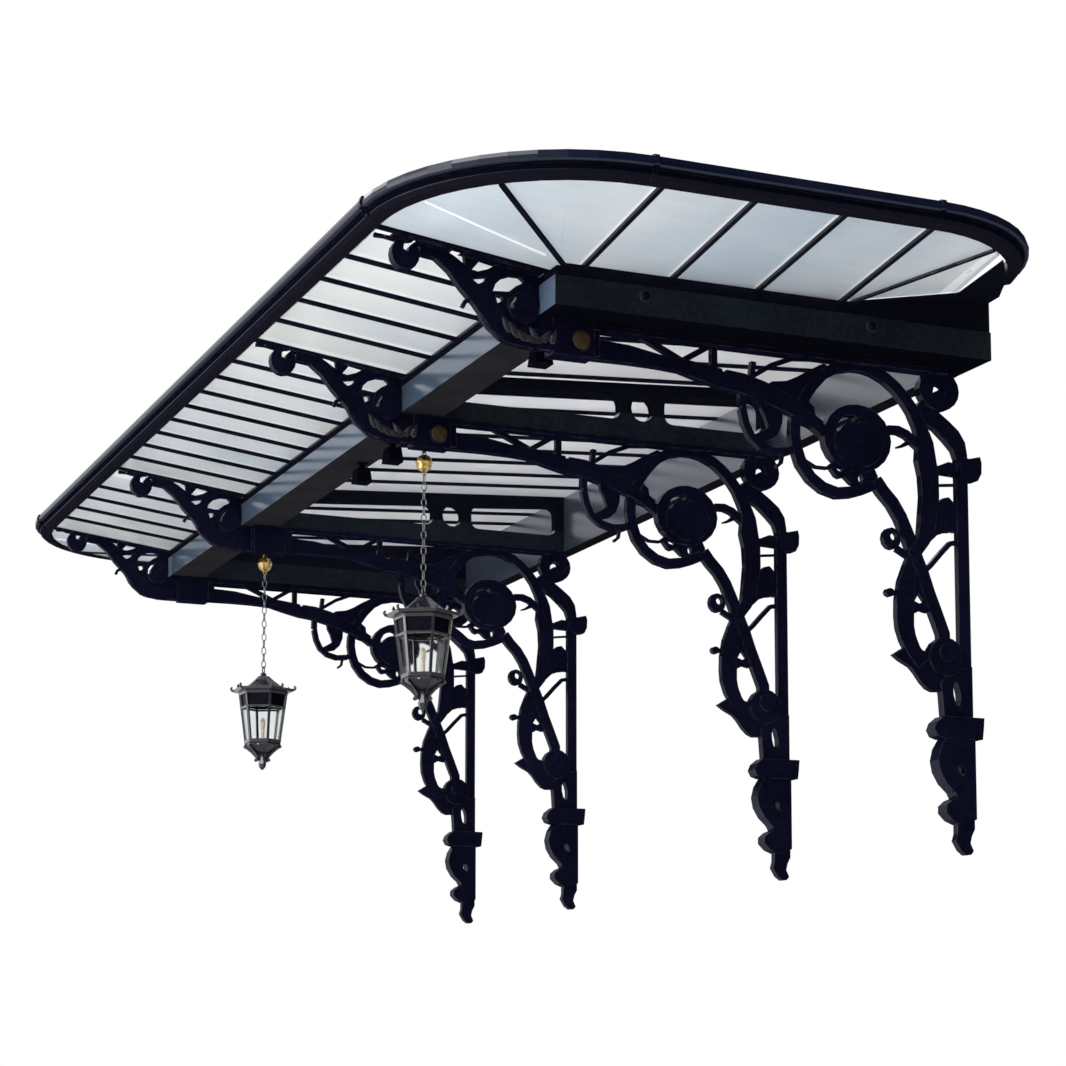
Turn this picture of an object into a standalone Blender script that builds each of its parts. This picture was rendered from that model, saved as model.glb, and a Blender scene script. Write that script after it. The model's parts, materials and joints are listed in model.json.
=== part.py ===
"""Wrought iron glass canopy: four cast consoles carry a box-beam frame and a glazed roof.

Metres, +Z up.  X runs along the wall, -Y points away from the wall, and the wall face is y = 0.
The part's origin is the middle of the wall beam's back face.
Inside the functions a height of 0 is the underside of the beams.
"""
import math

import bmesh
import bpy
from mathutils import Matrix, Vector

# Plan of the frame
MIDDLE_BAY = 2.70            # between the two middle consoles
END_BAY = 1.71               # from a middle console to an end console
FRONT_REACH = 2.134          # wall to the front face of the front beam
SIDE_OVERHANG = 0.232        # end console to the outer face of a side beam
APRON = 0.738                # width of the glazed apron outside the beams
GAP = 0.0003                 # clearance between touching pieces

# Beams
BEAM_FACE = 0.128            # height of the bright outer face
SILL_HEIGHT = 0.172          # top of the glazing sill above the underside
SILL_STEP = 0.012            # the sill stands back from the face
SILL_SHELF = 0.055           # level part of the sill, which the apron's bars lie on
ROOF_SEAT = 0.055            # part of the front beam's top that the roof's bars lie on
BEAM_WALL = 0.008            # plate thickness of the box beams
FRONT_BEAM_DEPTH = 0.214
SIDE_BEAM_WIDTH = 0.292
SIDE_UPSTAND = 0.100         # width of the raised inner part of a side beam
WALL_BEAM_DEPTH = 0.090
SIDE_WALL_GAP = 0.003        # a side beam stops this far from the wall

# Roof and apron slopes, as heights of the underside of the glazing bars
ROOF_FRONT = 0.230
ROOF_BACK = 0.345
APRON_RISE = 0.097
BAR_WIDTH = 0.022
BAR_HEIGHT = 0.016
RAIL_STEP = 0.002            # a bar's rail stands back from the sill's edge and below the bars
GLASS = 0.008
GLASS_LAP = 0.018            # a pane ends this far short of the rim or the wall
JOINT_GAP = 0.002            # the bar at the rear rim joint stops this far from the rim
FAN_GAP = 0.004              # a fan bar stops this far from the rounded rim
FAN_DROP = 0.005             # and is this much thinner and lower than the other bars
CLOSING_EDGE = -0.290        # front edge of the closing plates
CLOSING_X = 3.500            # its lid's front corner
CLOSING_TOP = 0.270          # height of the lid at the rim and the wall
CHEEK_START = -0.685         # a closing plate's cheek rises from here to the lid
CHEEK_END = -0.200
CHEEK = 0.006                # thickness of its cheek and lid
CORNER_BAR_SHIFT = 0.090     # the bars over the end consoles stand outside them
THIRD_BAR_SHIFT = 0.050      # and so does the one over the third console
SECOND_BAR_SHIFT = 0.035     # and the first one of the middle bay
MIDDLE_BARS = 9
MIDDLE_PITCH = 0.300
END_BARS = 4
RIGHT_FIRST_PANE = 0.400     # a middle console to the first bar outside it
RIGHT_PITCH = 0.332
LEFT_FIRST_PANE = 0.530
LEFT_PITCH = 0.305
SIDE_BAR_START = 0.139       # front face to the first side bar
SIDE_BAR_PITCH = 0.4107
SIDE_BARS = 4

# Rim moulding
RIM_WIDTH = 0.092
RIM_HEIGHT = 0.096
RIM_CORNER_STEPS = 12
RIM_JOINT_PAST = 0.065       # a corner bar to a front corner's joint in the front rim
RIM_JOINT_BEFORE = 0.065     # and its joint in the side rim stands this far before the first bar
REAR_INSET = 0.063           # wall to the rear curve of the rim, if it went all the way round
REAR_SWEEP = 73              # degrees of it that are there
STRAP_WIDTH = 0.022
STRAP_THICKNESS = 0.006

# Cross girders over the middle consoles
GIRDER_THICKNESS = 0.060
GIRDER_BACK_TOP = 0.3375
GIRDER_FRONT_TOP = 0.222
CHORD = 0.095                # depth of the bottom chord
TOP_CHORD = 0.066
END_PLATE = 0.150
OVAL_POST = 0.062
OVAL_CENTRE = -0.830
OVAL_WIDTH = 0.125

# Consoles and front scrolls
BAND = 0.038                 # thickness of the main cast bands
FINE_BAND = 0.028            # thickness of curls and links
WEB = 0.020                  # thickness of webs and leaves
BOSS = 0.056                 # thickness of the volutes' middles
THICK = 0.078                # thickness of the foot scroll and the collar
SPLICE_INSET = 0.064         # front beam's face to the splice block
SPLICE_LENGTH = 0.190
SPLICE_DEPTH = 0.158
SPLICE_HALF = 0.032
FLANGE_WIDTH = 0.070
FLANGE_DEPTH = 0.024
ARM_ROOT = 1.150             # wall to the point where the arm leaves the big scroll
SIDE_LAP = 0.045             # a front scroll is bolted on beside its console's arm
SCROLL_FLANGE = 0.008

# Lanterns, with heights below the wire that each piece hangs on
HANG_INSET = 0.139           # front beam's face to the lantern's staple
STAPLE_RADIUS = 0.012
STAPLE_WIRE = 0.004          # wire sizes are radii
EYE_RADIUS = 0.010
EYE_WIRE = 0.003
BALL_RADIUS = 0.043
CHAIN_LINKS = 14
LINK_PITCH = 0.040
LINK_WIDTH = 0.032
LINK_WIRE = 0.0032
LINK_RISE = LINK_PITCH / 2 + 0.0010
SHACKLE_RADIUS = 0.022
SHACKLE_WIRE = 0.004
ROOF_PEAK = -0.050
EAVES = -0.146
EAVES_RADIUS = 0.185
BODY_TOP_RADIUS = 0.138
BODY_BOTTOM_RADIUS = 0.098
BODY_HEIGHT = 0.300
CAGE_DEPTH = 0.006           # how far the cage's bands reach inside the body's corners
FINIAL_TIP = -0.600

# Spotlights under the front beam
SPOT_SIZE = 0.088
SPOT_HEIGHT = 0.075
SPOT_FOOT = -0.110
SPOT_INSET = 0.154           # front beam's face to a spotlight's middle
SPOT_FROM_END = 0.29         # spotlights beside the end consoles and the third console
SPOT_BEYOND_END = 0.14
SPOT_FROM_MIDDLE = (0.505, 0.990)

CONSOLES = (-(MIDDLE_BAY / 2 + END_BAY), -MIDDLE_BAY / 2, MIDDLE_BAY / 2, MIDDLE_BAY / 2 + END_BAY)
SIDE_REACH = CONSOLES[3] + SIDE_OVERHANG
SPLICE_FRONT = -FRONT_REACH + SPLICE_INSET
SPLICE_BACK = SPLICE_FRONT + SPLICE_LENGTH
HANG_Y = -FRONT_REACH + HANG_INSET
WALL_BEAM_TOP = ROOF_BACK - GAP
UNDERSIDE = -WALL_BEAM_TOP / 2
SIDE_INNER = SIDE_REACH - SIDE_BEAM_WIDTH
FRONT_INNER = FRONT_REACH - FRONT_BEAM_DEPTH
RIM_REACH_Y = FRONT_REACH + APRON
RIM_REACH_X = SIDE_REACH + APRON
SIDE_FIRST_BAR = -FRONT_REACH + SIDE_BAR_START
SIDE_LAST_BAR = SIDE_FIRST_BAR + (SIDE_BARS - 1) * SIDE_BAR_PITCH
CORNER_X = CONSOLES[3] + CORNER_BAR_SHIFT
RIM_JOINT_X = CORNER_X + RIM_JOINT_PAST
RIM_JOINT_Y = SIDE_FIRST_BAR - RIM_JOINT_BEFORE
APRON_ROOT = SILL_STEP + RAIL_STEP + BAR_WIDTH
RAIL_TOP = SILL_HEIGHT + GAP + BAR_HEIGHT - RAIL_STEP
CROWN = math.sin(math.radians(67.5))     # height of an eight-sided ring's top wire
STAPLE_PIVOT = -SPLICE_DEPTH - 0.005 - STAPLE_RADIUS * CROWN
BALL_EYE = (STAPLE_WIRE + EYE_WIRE) * CROWN + GAP - EYE_RADIUS * CROWN
BALL_CENTRE = BALL_EYE - BALL_RADIUS - 0.007
BALL_PIVOT = BALL_CENTRE - BALL_RADIUS - 0.008 - EYE_RADIUS * CROWN
FIRST_LINK = (EYE_WIRE + LINK_WIRE) * CROWN + GAP - LINK_RISE
CHAIN_PIVOT = FIRST_LINK - (CHAIN_LINKS - 1) * LINK_PITCH - LINK_RISE
RIM_BASE = SILL_HEIGHT + APRON_RISE

IRON = (0.010, 0.011, 0.020)
RIM_IRON = (0.020, 0.022, 0.034)
LANTERN_IRON = (0.030, 0.030, 0.030)
PANE = (0.72, 0.77, 0.78)
BRASS = (0.45, 0.33, 0.12)
WAX = (0.80, 0.74, 0.58)


def clear_scene():
    for item in list(bpy.data.objects):
        bpy.data.objects.remove(item, do_unlink=True)


def make_material(name, colour, roughness, metallic):
    material = bpy.data.materials.new(name)
    material.use_nodes = True
    shader = material.node_tree.nodes["Principled BSDF"]
    shader.inputs["Base Color"].default_value = (*colour, 1.0)
    shader.inputs["Roughness"].default_value = roughness
    shader.inputs["Metallic"].default_value = metallic
    return material


def paint(item, colour, roughness=0.35, metallic=0.0):
    item.data.materials.clear()
    item.data.materials.append(make_material(item.name + "_finish", colour, roughness, metallic))


def new_object(name, mesh, colour, roughness=0.35, metallic=0.0, location=(0, 0, 0)):
    item = bpy.data.objects.new(name, mesh)
    bpy.context.collection.objects.link(item)
    item.location = location
    paint(item, colour, roughness, metallic)
    return item


def loft(loops, ring=False):
    """Skin a row of equal closed loops; a ring joins its last loop to its first."""
    body = bmesh.new()
    rows = [[body.verts.new(point) for point in loop] for loop in loops]
    count = len(rows[0])
    spans = len(rows) if ring else len(rows) - 1
    for row in range(spans):
        here = rows[row]
        there = rows[(row + 1) % len(rows)]
        for side in range(count):
            after = (side + 1) % count
            body.faces.new((here[side], here[after], there[after], there[side]))
    if not ring:
        body.faces.new(reversed(rows[0]))
        body.faces.new(rows[-1])
    bmesh.ops.recalc_face_normals(body, faces=body.faces)
    mesh = bpy.data.meshes.new("shape")
    body.to_mesh(mesh)
    body.free()
    return mesh


def plate(outline, thickness):
    """A flat casting in the YZ plane, centred on x = 0."""
    half = thickness / 2
    return loft([[(-half, y, z) for y, z in outline], [(half, y, z) for y, z in outline]])


def block(low, high):
    (x0, y0, z0), (x1, y1, z1) = low, high
    outline = ((y0, z0), (y1, z0), (y1, z1), (y0, z1))
    return loft([[(x, y, z) for y, z in outline] for x in (x0, x1)])


def arc(centre, radius, start, end, steps):
    """Points on a circle, angles in degrees."""
    points = []
    for step in range(steps + 1):
        angle = math.radians(start + (end - start) * step / steps)
        points.append((centre[0] + radius * math.cos(angle), centre[1] + radius * math.sin(angle)))
    return points


def ellipse(centre, radii, steps, tilt=0.0):
    turn = math.radians(tilt)
    points = []
    for step in range(steps):
        angle = 2 * math.pi * step / steps
        across = radii[0] * math.cos(angle)
        up = radii[1] * math.sin(angle)
        points.append((centre[0] + across * math.cos(turn) - up * math.sin(turn),
                       centre[1] + across * math.sin(turn) + up * math.cos(turn)))
    return points


def smooth(points, steps):
    """A Catmull-Rom curve through rows of numbers, with a few steps for each span."""
    rows = [Vector(point) for point in points]
    rows = [2 * rows[0] - rows[1]] + rows + [2 * rows[-1] - rows[-2]]
    curve = []
    for span in range(1, len(rows) - 2):
        a, b, c, d = rows[span - 1:span + 3]
        for step in range(steps):
            t = step / steps
            curve.append(0.5 * (2 * b + (c - a) * t + (2 * a - 5 * b + 4 * c - d) * t ** 2
                                + (3 * b - a - 3 * c + d) * t ** 3))
    curve.append(rows[-2])
    return curve


def ribbon(points, widths, thickness, steps=1):
    """A cast band along a curve in the YZ plane, with its width given at each point."""
    if not isinstance(widths, (list, tuple)):
        widths = [widths] * len(points)
    curve = smooth([(y, z, width) for (y, z), width in zip(points, widths)], steps)
    loops = []
    for index, (y, z, width) in enumerate(curve):
        before = curve[max(index - 1, 0)]
        after = curve[min(index + 1, len(curve) - 1)]
        along = Vector((after[0] - before[0], after[1] - before[1])).normalized()
        out = Vector((-along[1], along[0])) * width / 2
        half = thickness / 2
        loops.append([(-half, y - out[0], z - out[1]), (-half, y + out[0], z + out[1]),
                      (half, y + out[0], z + out[1]), (half, y - out[0], z - out[1])])
    return loft(loops)


def fuse(name, shapes, cuts=()):
    """Join overlapping solids, take the cuts away, and return the result as one mesh."""
    body = bpy.data.objects.new(name, shapes[0])
    bpy.context.collection.objects.link(body)
    tools = []
    for operation, meshes in (("UNION", shapes[1:]), ("DIFFERENCE", cuts)):
        for mesh in meshes:
            tool = bpy.data.objects.new(name + "_tool", mesh)
            bpy.context.collection.objects.link(tool)
            tools.append(tool)
            step = body.modifiers.new("join", "BOOLEAN")
            step.operation = operation
            step.solver = "EXACT"
            step.object = tool
    bpy.context.view_layer.update()
    graph = bpy.context.evaluated_depsgraph_get()
    result = bpy.data.meshes.new_from_object(body.evaluated_get(graph))
    for item in tools + [body]:
        bpy.data.objects.remove(item, do_unlink=True)
    return clean(result, name)


def clean(mesh, name):
    """Drop the slivers that a union leaves behind."""
    body = bmesh.new()
    body.from_mesh(mesh)
    bmesh.ops.remove_doubles(body, verts=body.verts, dist=0.00005)
    bmesh.ops.dissolve_limit(body, angle_limit=math.radians(0.5), verts=body.verts, edges=body.edges)
    body.to_mesh(mesh)
    body.free()
    mesh.name = name
    return mesh


def bar_line(y):
    """Height of the underside of the main roof's glazing bars."""
    slope = (ROOF_BACK - ROOF_FRONT) / FRONT_INNER
    return ROOF_BACK + slope * y


def apron_line(out):
    """Height of the underside of the apron's bars, so far outside a beam's face."""
    return SILL_HEIGHT + GAP + APRON_RISE * (out + APRON_ROOT) / (APRON + APRON_ROOT)


def bar_positions():
    """Where the front-to-back glazing bars lie along the wall, from left to right."""
    half = MIDDLE_BAY / 2
    left = [-half - LEFT_FIRST_PANE - LEFT_PITCH * step for step in range(END_BARS)]
    middle = [-half - SECOND_BAR_SHIFT + MIDDLE_PITCH * step for step in range(MIDDLE_BARS)]
    right = [half + RIGHT_FIRST_PANE + RIGHT_PITCH * step for step in range(END_BARS)]
    return [-CORNER_X] + left[::-1] + middle + [half + THIRD_BAR_SHIFT] + right + [CORNER_X]


def console_mesh():
    """One wall console: back bar, big scroll, arm, collar and foot."""
    top = -GAP
    heel = -GAP
    flange_end = SPLICE_BACK + GAP
    arm_reach = -flange_end - ARM_ROOT

    def along(share, height):
        """A point of the arm: its share of the way from its root to the splice."""
        return -ARM_ROOT - share * arm_reach, height

    shapes = [
        block((-FLANGE_WIDTH / 2, flange_end, top - FLANGE_DEPTH), (FLANGE_WIDTH / 2, -0.110, top)),
        block((-0.016, -0.060, -1.720), (0.016, heel, -0.430)),
        block((-SPLICE_HALF, flange_end, -SPLICE_DEPTH + 0.020), (SPLICE_HALF, flange_end + 0.040, -0.012)),
        # S band from the crossing, which winds up as the big scroll
        ribbon([(-0.300, -0.880), (-0.238, -0.798), (-0.220, -0.748), (-0.200, -0.598), (-0.203, -0.498),
                (-0.217, -0.428), (-0.220, -0.350), (-0.230, -0.313), (-0.250, -0.268), (-0.282, -0.205),
                (-0.325, -0.151), (-0.367, -0.109), (-0.420, -0.071), (-0.485, -0.043), (-0.540, -0.032),
                (-0.595, -0.032), (-0.675, -0.050), (-0.745, -0.090), (-0.798, -0.146), (-0.835, -0.198),
                (-0.868, -0.258), (-0.887, -0.318), (-0.890, -0.378), (-0.880, -0.438), (-0.857, -0.503),
                (-0.810, -0.563), (-0.750, -0.603), (-0.680, -0.621), (-0.610, -0.611), (-0.545, -0.590),
                (-0.495, -0.568)],
               [0.055, 0.062, 0.080, 0.090, 0.095, 0.100, 0.080, 0.066, 0.060, 0.056, 0.052]
               + [0.050] * 20, BAND),
        # arm, which runs into the inner volute
        ribbon([along(0.99, -0.105), along(0.753, -0.108), along(0.548, -0.122), along(0.411, -0.128),
                along(0.274, -0.147), along(0.137, -0.165), along(0.0, -0.175), (-1.050, -0.200),
                (-0.950, -0.235), (-0.875, -0.270), (-0.810, -0.305), (-0.745, -0.350)],
               [0.090, 0.080, 0.058, 0.060, 0.075, 0.085, 0.090, 0.090, 0.080, 0.060, 0.050, 0.046],
               BAND + 0.004),
        plate(ellipse((-0.577, -0.366), (0.172, 0.155), 20), BOSS - 0.006),
        plate(ellipse((-0.575, -0.393), (0.125, 0.105), 16), BOSS + 0.006),
        # leaf between the arm and the big scroll
        plate([(-0.930, -0.140), (-0.875, -0.115), (-0.815, -0.078), (-0.740, -0.040),
              (-0.710, -0.055), (-0.800, -0.170), (-0.820, -0.220), (-0.790, -0.245), (-0.785, -0.280),
              (-0.745, -0.305), (-0.800, -0.340), (-0.870, -0.320), (-0.950, -0.260), (-1.050, -0.180),
              (-1.000, -0.150)], BAND - 0.006),
        # diagonal band through the crossing to the lower volute
        ribbon([(-0.480, -0.545), (-0.445, -0.590), (-0.395, -0.640), (-0.355, -0.700),
                (-0.325, -0.765), (-0.293, -0.840), (-0.246, -0.948), (-0.214, -1.038), (-0.177, -1.128),
                (-0.141, -1.218), (-0.140, -1.300)],
               0.060, BAND - 0.002),
        # lower loop, its bottom leaf, and the web between the loop and the diagonal band
        ribbon([(-0.285, -0.860), (-0.311, -0.928), (-0.329, -0.998), (-0.340, -1.080), (-0.341, -1.150),
                (-0.339, -1.200), (-0.325, -1.250), (-0.297, -1.305), (-0.250, -1.360)],
               [0.050, 0.060, 0.080, 0.088, 0.090, 0.085, 0.078, 0.070, 0.070], BAND - 0.004),
        plate([(-0.330, -1.285), (-0.360, -1.300), (-0.405, -1.328), (-0.370, -1.352),
              (-0.318, -1.378), (-0.293, -1.403), (-0.263, -1.443), (-0.233, -1.471), (-0.203, -1.483),
              (-0.163, -1.481), (-0.100, -1.440), (-0.080, -1.380), (-0.150, -1.330),
              (-0.250, -1.300)], BAND - 0.008),
        plate([(-0.300, -0.880), (-0.340, -1.000), (-0.340, -1.120), (-0.290, -1.135),
              (-0.262, -1.120), (-0.225, -1.128), (-0.190, -1.100), (-0.240, -0.960),
              (-0.270, -0.880)], WEB),
        plate(ellipse((-0.415, -1.048), (0.024, 0.020), 8), FINE_BAND),
        plate([(-0.402, -1.040), (-0.370, -1.030), (-0.370, -1.060), (-0.402, -1.056)], WEB),
        plate(ellipse((-0.135, -1.323), (0.088, 0.088), 16), BOSS - 0.006),
        plate(ellipse((-0.130, -1.303), (0.045, 0.045), 10), BOSS + 0.014),
        plate(ellipse((-0.403, -0.803), (0.046, 0.050), 12), FINE_BAND + 0.002),
        ribbon([(-0.375, -0.845), (-0.300, -0.884)], 0.026, FINE_BAND),
        # top volute and its neck
        plate(ellipse((-0.147, -0.098), (0.104, 0.096), 18), BOSS - 0.008),
        plate([(-0.245, -0.160), (-0.160, -0.193), (-0.095, -0.238), (-0.045, -0.278),
              (-0.012, -0.328), (-0.002, -0.388), (-0.002, -0.450), (-0.060, -0.450), (-0.060, -0.410),
              (-0.075, -0.370), (-0.115, -0.330), (-0.170, -0.283), (-0.215, -0.260),
              (-0.270, -0.190)], BAND - 0.001),
        # links between the S band and the back bar
        plate([(-0.050, -0.400), (0.000, -0.405), (0.058, -0.391), (0.066, -0.418), (0.064, -0.468),
              (0.045, -0.503), (0.000, -0.508), (-0.050, -0.500)], THICK - 0.015),
        plate([(-0.210, -0.438), (-0.155, -0.448), (-0.100, -0.425), (-0.045, -0.430),
              (-0.045, -0.490), (-0.155, -0.485), (-0.210, -0.500)], FINE_BAND),
        plate([(-0.220, -0.600), (-0.155, -0.615), (-0.130, -0.595), (-0.100, -0.588),
              (-0.075, -0.612), (-0.045, -0.620), (-0.045, -0.745), (-0.120, -0.752), (-0.165, -0.768),
              (-0.200, -0.800), (-0.240, -0.780)], FINE_BAND - 0.002),
        ribbon([(-0.290, -0.975), (-0.250, -0.955), (-0.200, -0.910), (-0.145, -0.850), (-0.095, -0.800),
                (-0.045, -0.790)], 0.022, FINE_BAND - 0.004),
        ribbon([(-0.210, -0.560), (-0.140, -0.535), (-0.045, -0.525)], 0.012, WEB - 0.004),
        # leafy band between the inner volute and the S band
        ribbon([(-0.440, -0.335), (-0.405, -0.305), (-0.360, -0.303), (-0.315, -0.318), (-0.240, -0.375)],
               0.040, FINE_BAND),
        ribbon([(-0.280, -0.340), (-0.335, -0.372), (-0.365, -0.382)], [0.030, 0.014, 0.008], WEB),
        # leaves under the inner volute
        plate([(-0.720, -0.500), (-0.685, -0.545), (-0.665, -0.553), (-0.640, -0.545),
              (-0.605, -0.575), (-0.550, -0.580), (-0.500, -0.560), (-0.470, -0.530), (-0.500, -0.470),
              (-0.600, -0.480), (-0.680, -0.470)], FINE_BAND + 0.004),
        ribbon([(-0.880, -0.455), (-0.830, -0.490), (-0.785, -0.512), (-0.730, -0.512), (-0.680, -0.500)],
               0.013, WEB),
        # posts and leaves on the arm
        ribbon([along(0.658, -0.020), along(0.384, -0.110)], 0.028, FINE_BAND - 0.004),
        ribbon([along(0.384, -0.100), along(0.205, -0.020)], 0.026, FINE_BAND - 0.006),
        ribbon([along(0.185, -0.150), along(0.185, -0.012)], 0.030, FINE_BAND),
        ribbon([(-1.110, -0.145), (-1.000, -0.075), (-0.890, -0.030), (-0.800, -0.022)], 0.022, WEB),
        ribbon([(-1.100, -0.150), (-1.090, -0.070)], 0.024, FINE_BAND),
        # hanging scroll in front of the big scroll
        ribbon([(-1.145, -0.180), (-1.147, -0.280), (-1.132, -0.350), (-1.105, -0.405), (-1.055, -0.445),
                (-0.990, -0.462), (-0.920, -0.455), (-0.875, -0.430)], 0.034, FINE_BAND + 0.004),
        plate([(-1.075, -0.170), (-0.945, -0.220), (-0.950, -0.330), (-0.970, -0.380),
              (-1.005, -0.413), (-1.045, -0.423), (-1.100, -0.405), (-1.050, -0.378), (-1.020, -0.358),
              (-1.035, -0.310), (-1.055, -0.275)], WEB + 0.004),
        ribbon([(-0.945, -0.455), (-0.955, -0.510), (-0.980, -0.530)], 0.014, WEB),
        # stem, collar with its knob and lug, foot scroll and tip
        plate([(heel, -1.360), (heel, -1.620), (-0.150, -1.620), (-0.158, -1.500), (-0.165, -1.440),
              (-0.100, -1.380)], BAND + 0.007),
        plate([(0.048, -1.593), (-0.162, -1.593), (-0.198, -1.621), (-0.212, -1.653), (-0.196, -1.683),
              (-0.162, -1.693), (0.038, -1.691), (0.044, -1.643)], THICK),
        plate([(heel, -1.671), (-0.140, -1.671), (-0.182, -1.737), (-0.196, -1.791), (-0.186, -1.843),
              (-0.156, -1.893), (-0.112, -1.933), (-0.100, -1.957), (-0.128, -1.969), (-0.157, -1.993),
              (-0.158, -2.025), (-0.126, -2.057), (-0.080, -2.075), (-0.034, -2.067),
              (heel, -2.051)], THICK - 0.004),
        plate([(heel, -2.011), (-0.089, -2.021), (-0.091, -2.117), (-0.101, -2.149), (-0.075, -2.191),
              (-0.047, -2.211), (-0.023, -2.209), (-0.009, -2.193), (-0.025, -2.157), (-0.017, -2.125),
              (heel, -2.093)], BAND),
    ]
    cuts = [
        plate([(-0.685, -0.343), (-0.683, -0.318), (-0.665, -0.288), (-0.635, -0.268), (-0.605, -0.262),
              (-0.585, -0.268), (-0.570, -0.292), (-0.578, -0.300), (-0.600, -0.291), (-0.628, -0.297),
              (-0.655, -0.318), (-0.675, -0.343)], 2 * THICK),
        plate([(-0.183, -0.120), (-0.177, -0.082), (-0.150, -0.066), (-0.125, -0.080), (-0.120, -0.112),
              (-0.138, -0.105), (-0.150, -0.098), (-0.160, -0.105)], 2 * THICK),
        plate([(-0.288, -1.078), (-0.268, -1.043), (-0.240, -1.078), (-0.262, -1.088)], 2 * THICK),
        plate(ellipse((-0.393, -0.793), (0.019, 0.019), 8), 2 * THICK),
        plate(ellipse((-0.087, -0.756), (0.012, 0.012), 6), 2 * THICK),
        plate(ellipse((-0.660, -0.512), (0.022, 0.010), 8), 2 * THICK),
        plate(ellipse((-0.560, -0.545), (0.013, 0.020), 8), 2 * THICK),
        plate(ellipse((along(0.123, 0.0)[0], -0.125), (0.012, 0.012), 6), 2 * THICK),
        plate(ellipse((-1.160, -0.283), (0.008, 0.008), 6), 2 * THICK),
        plate(ellipse((-0.083, -1.488), (0.018, 0.056), 10, 8), 2 * THICK),
        plate(ellipse((-0.074, -1.836), (0.016, 0.026), 8, 30), 2 * THICK),
    ]
    return fuse("console_casting", shapes, cuts)


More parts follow.
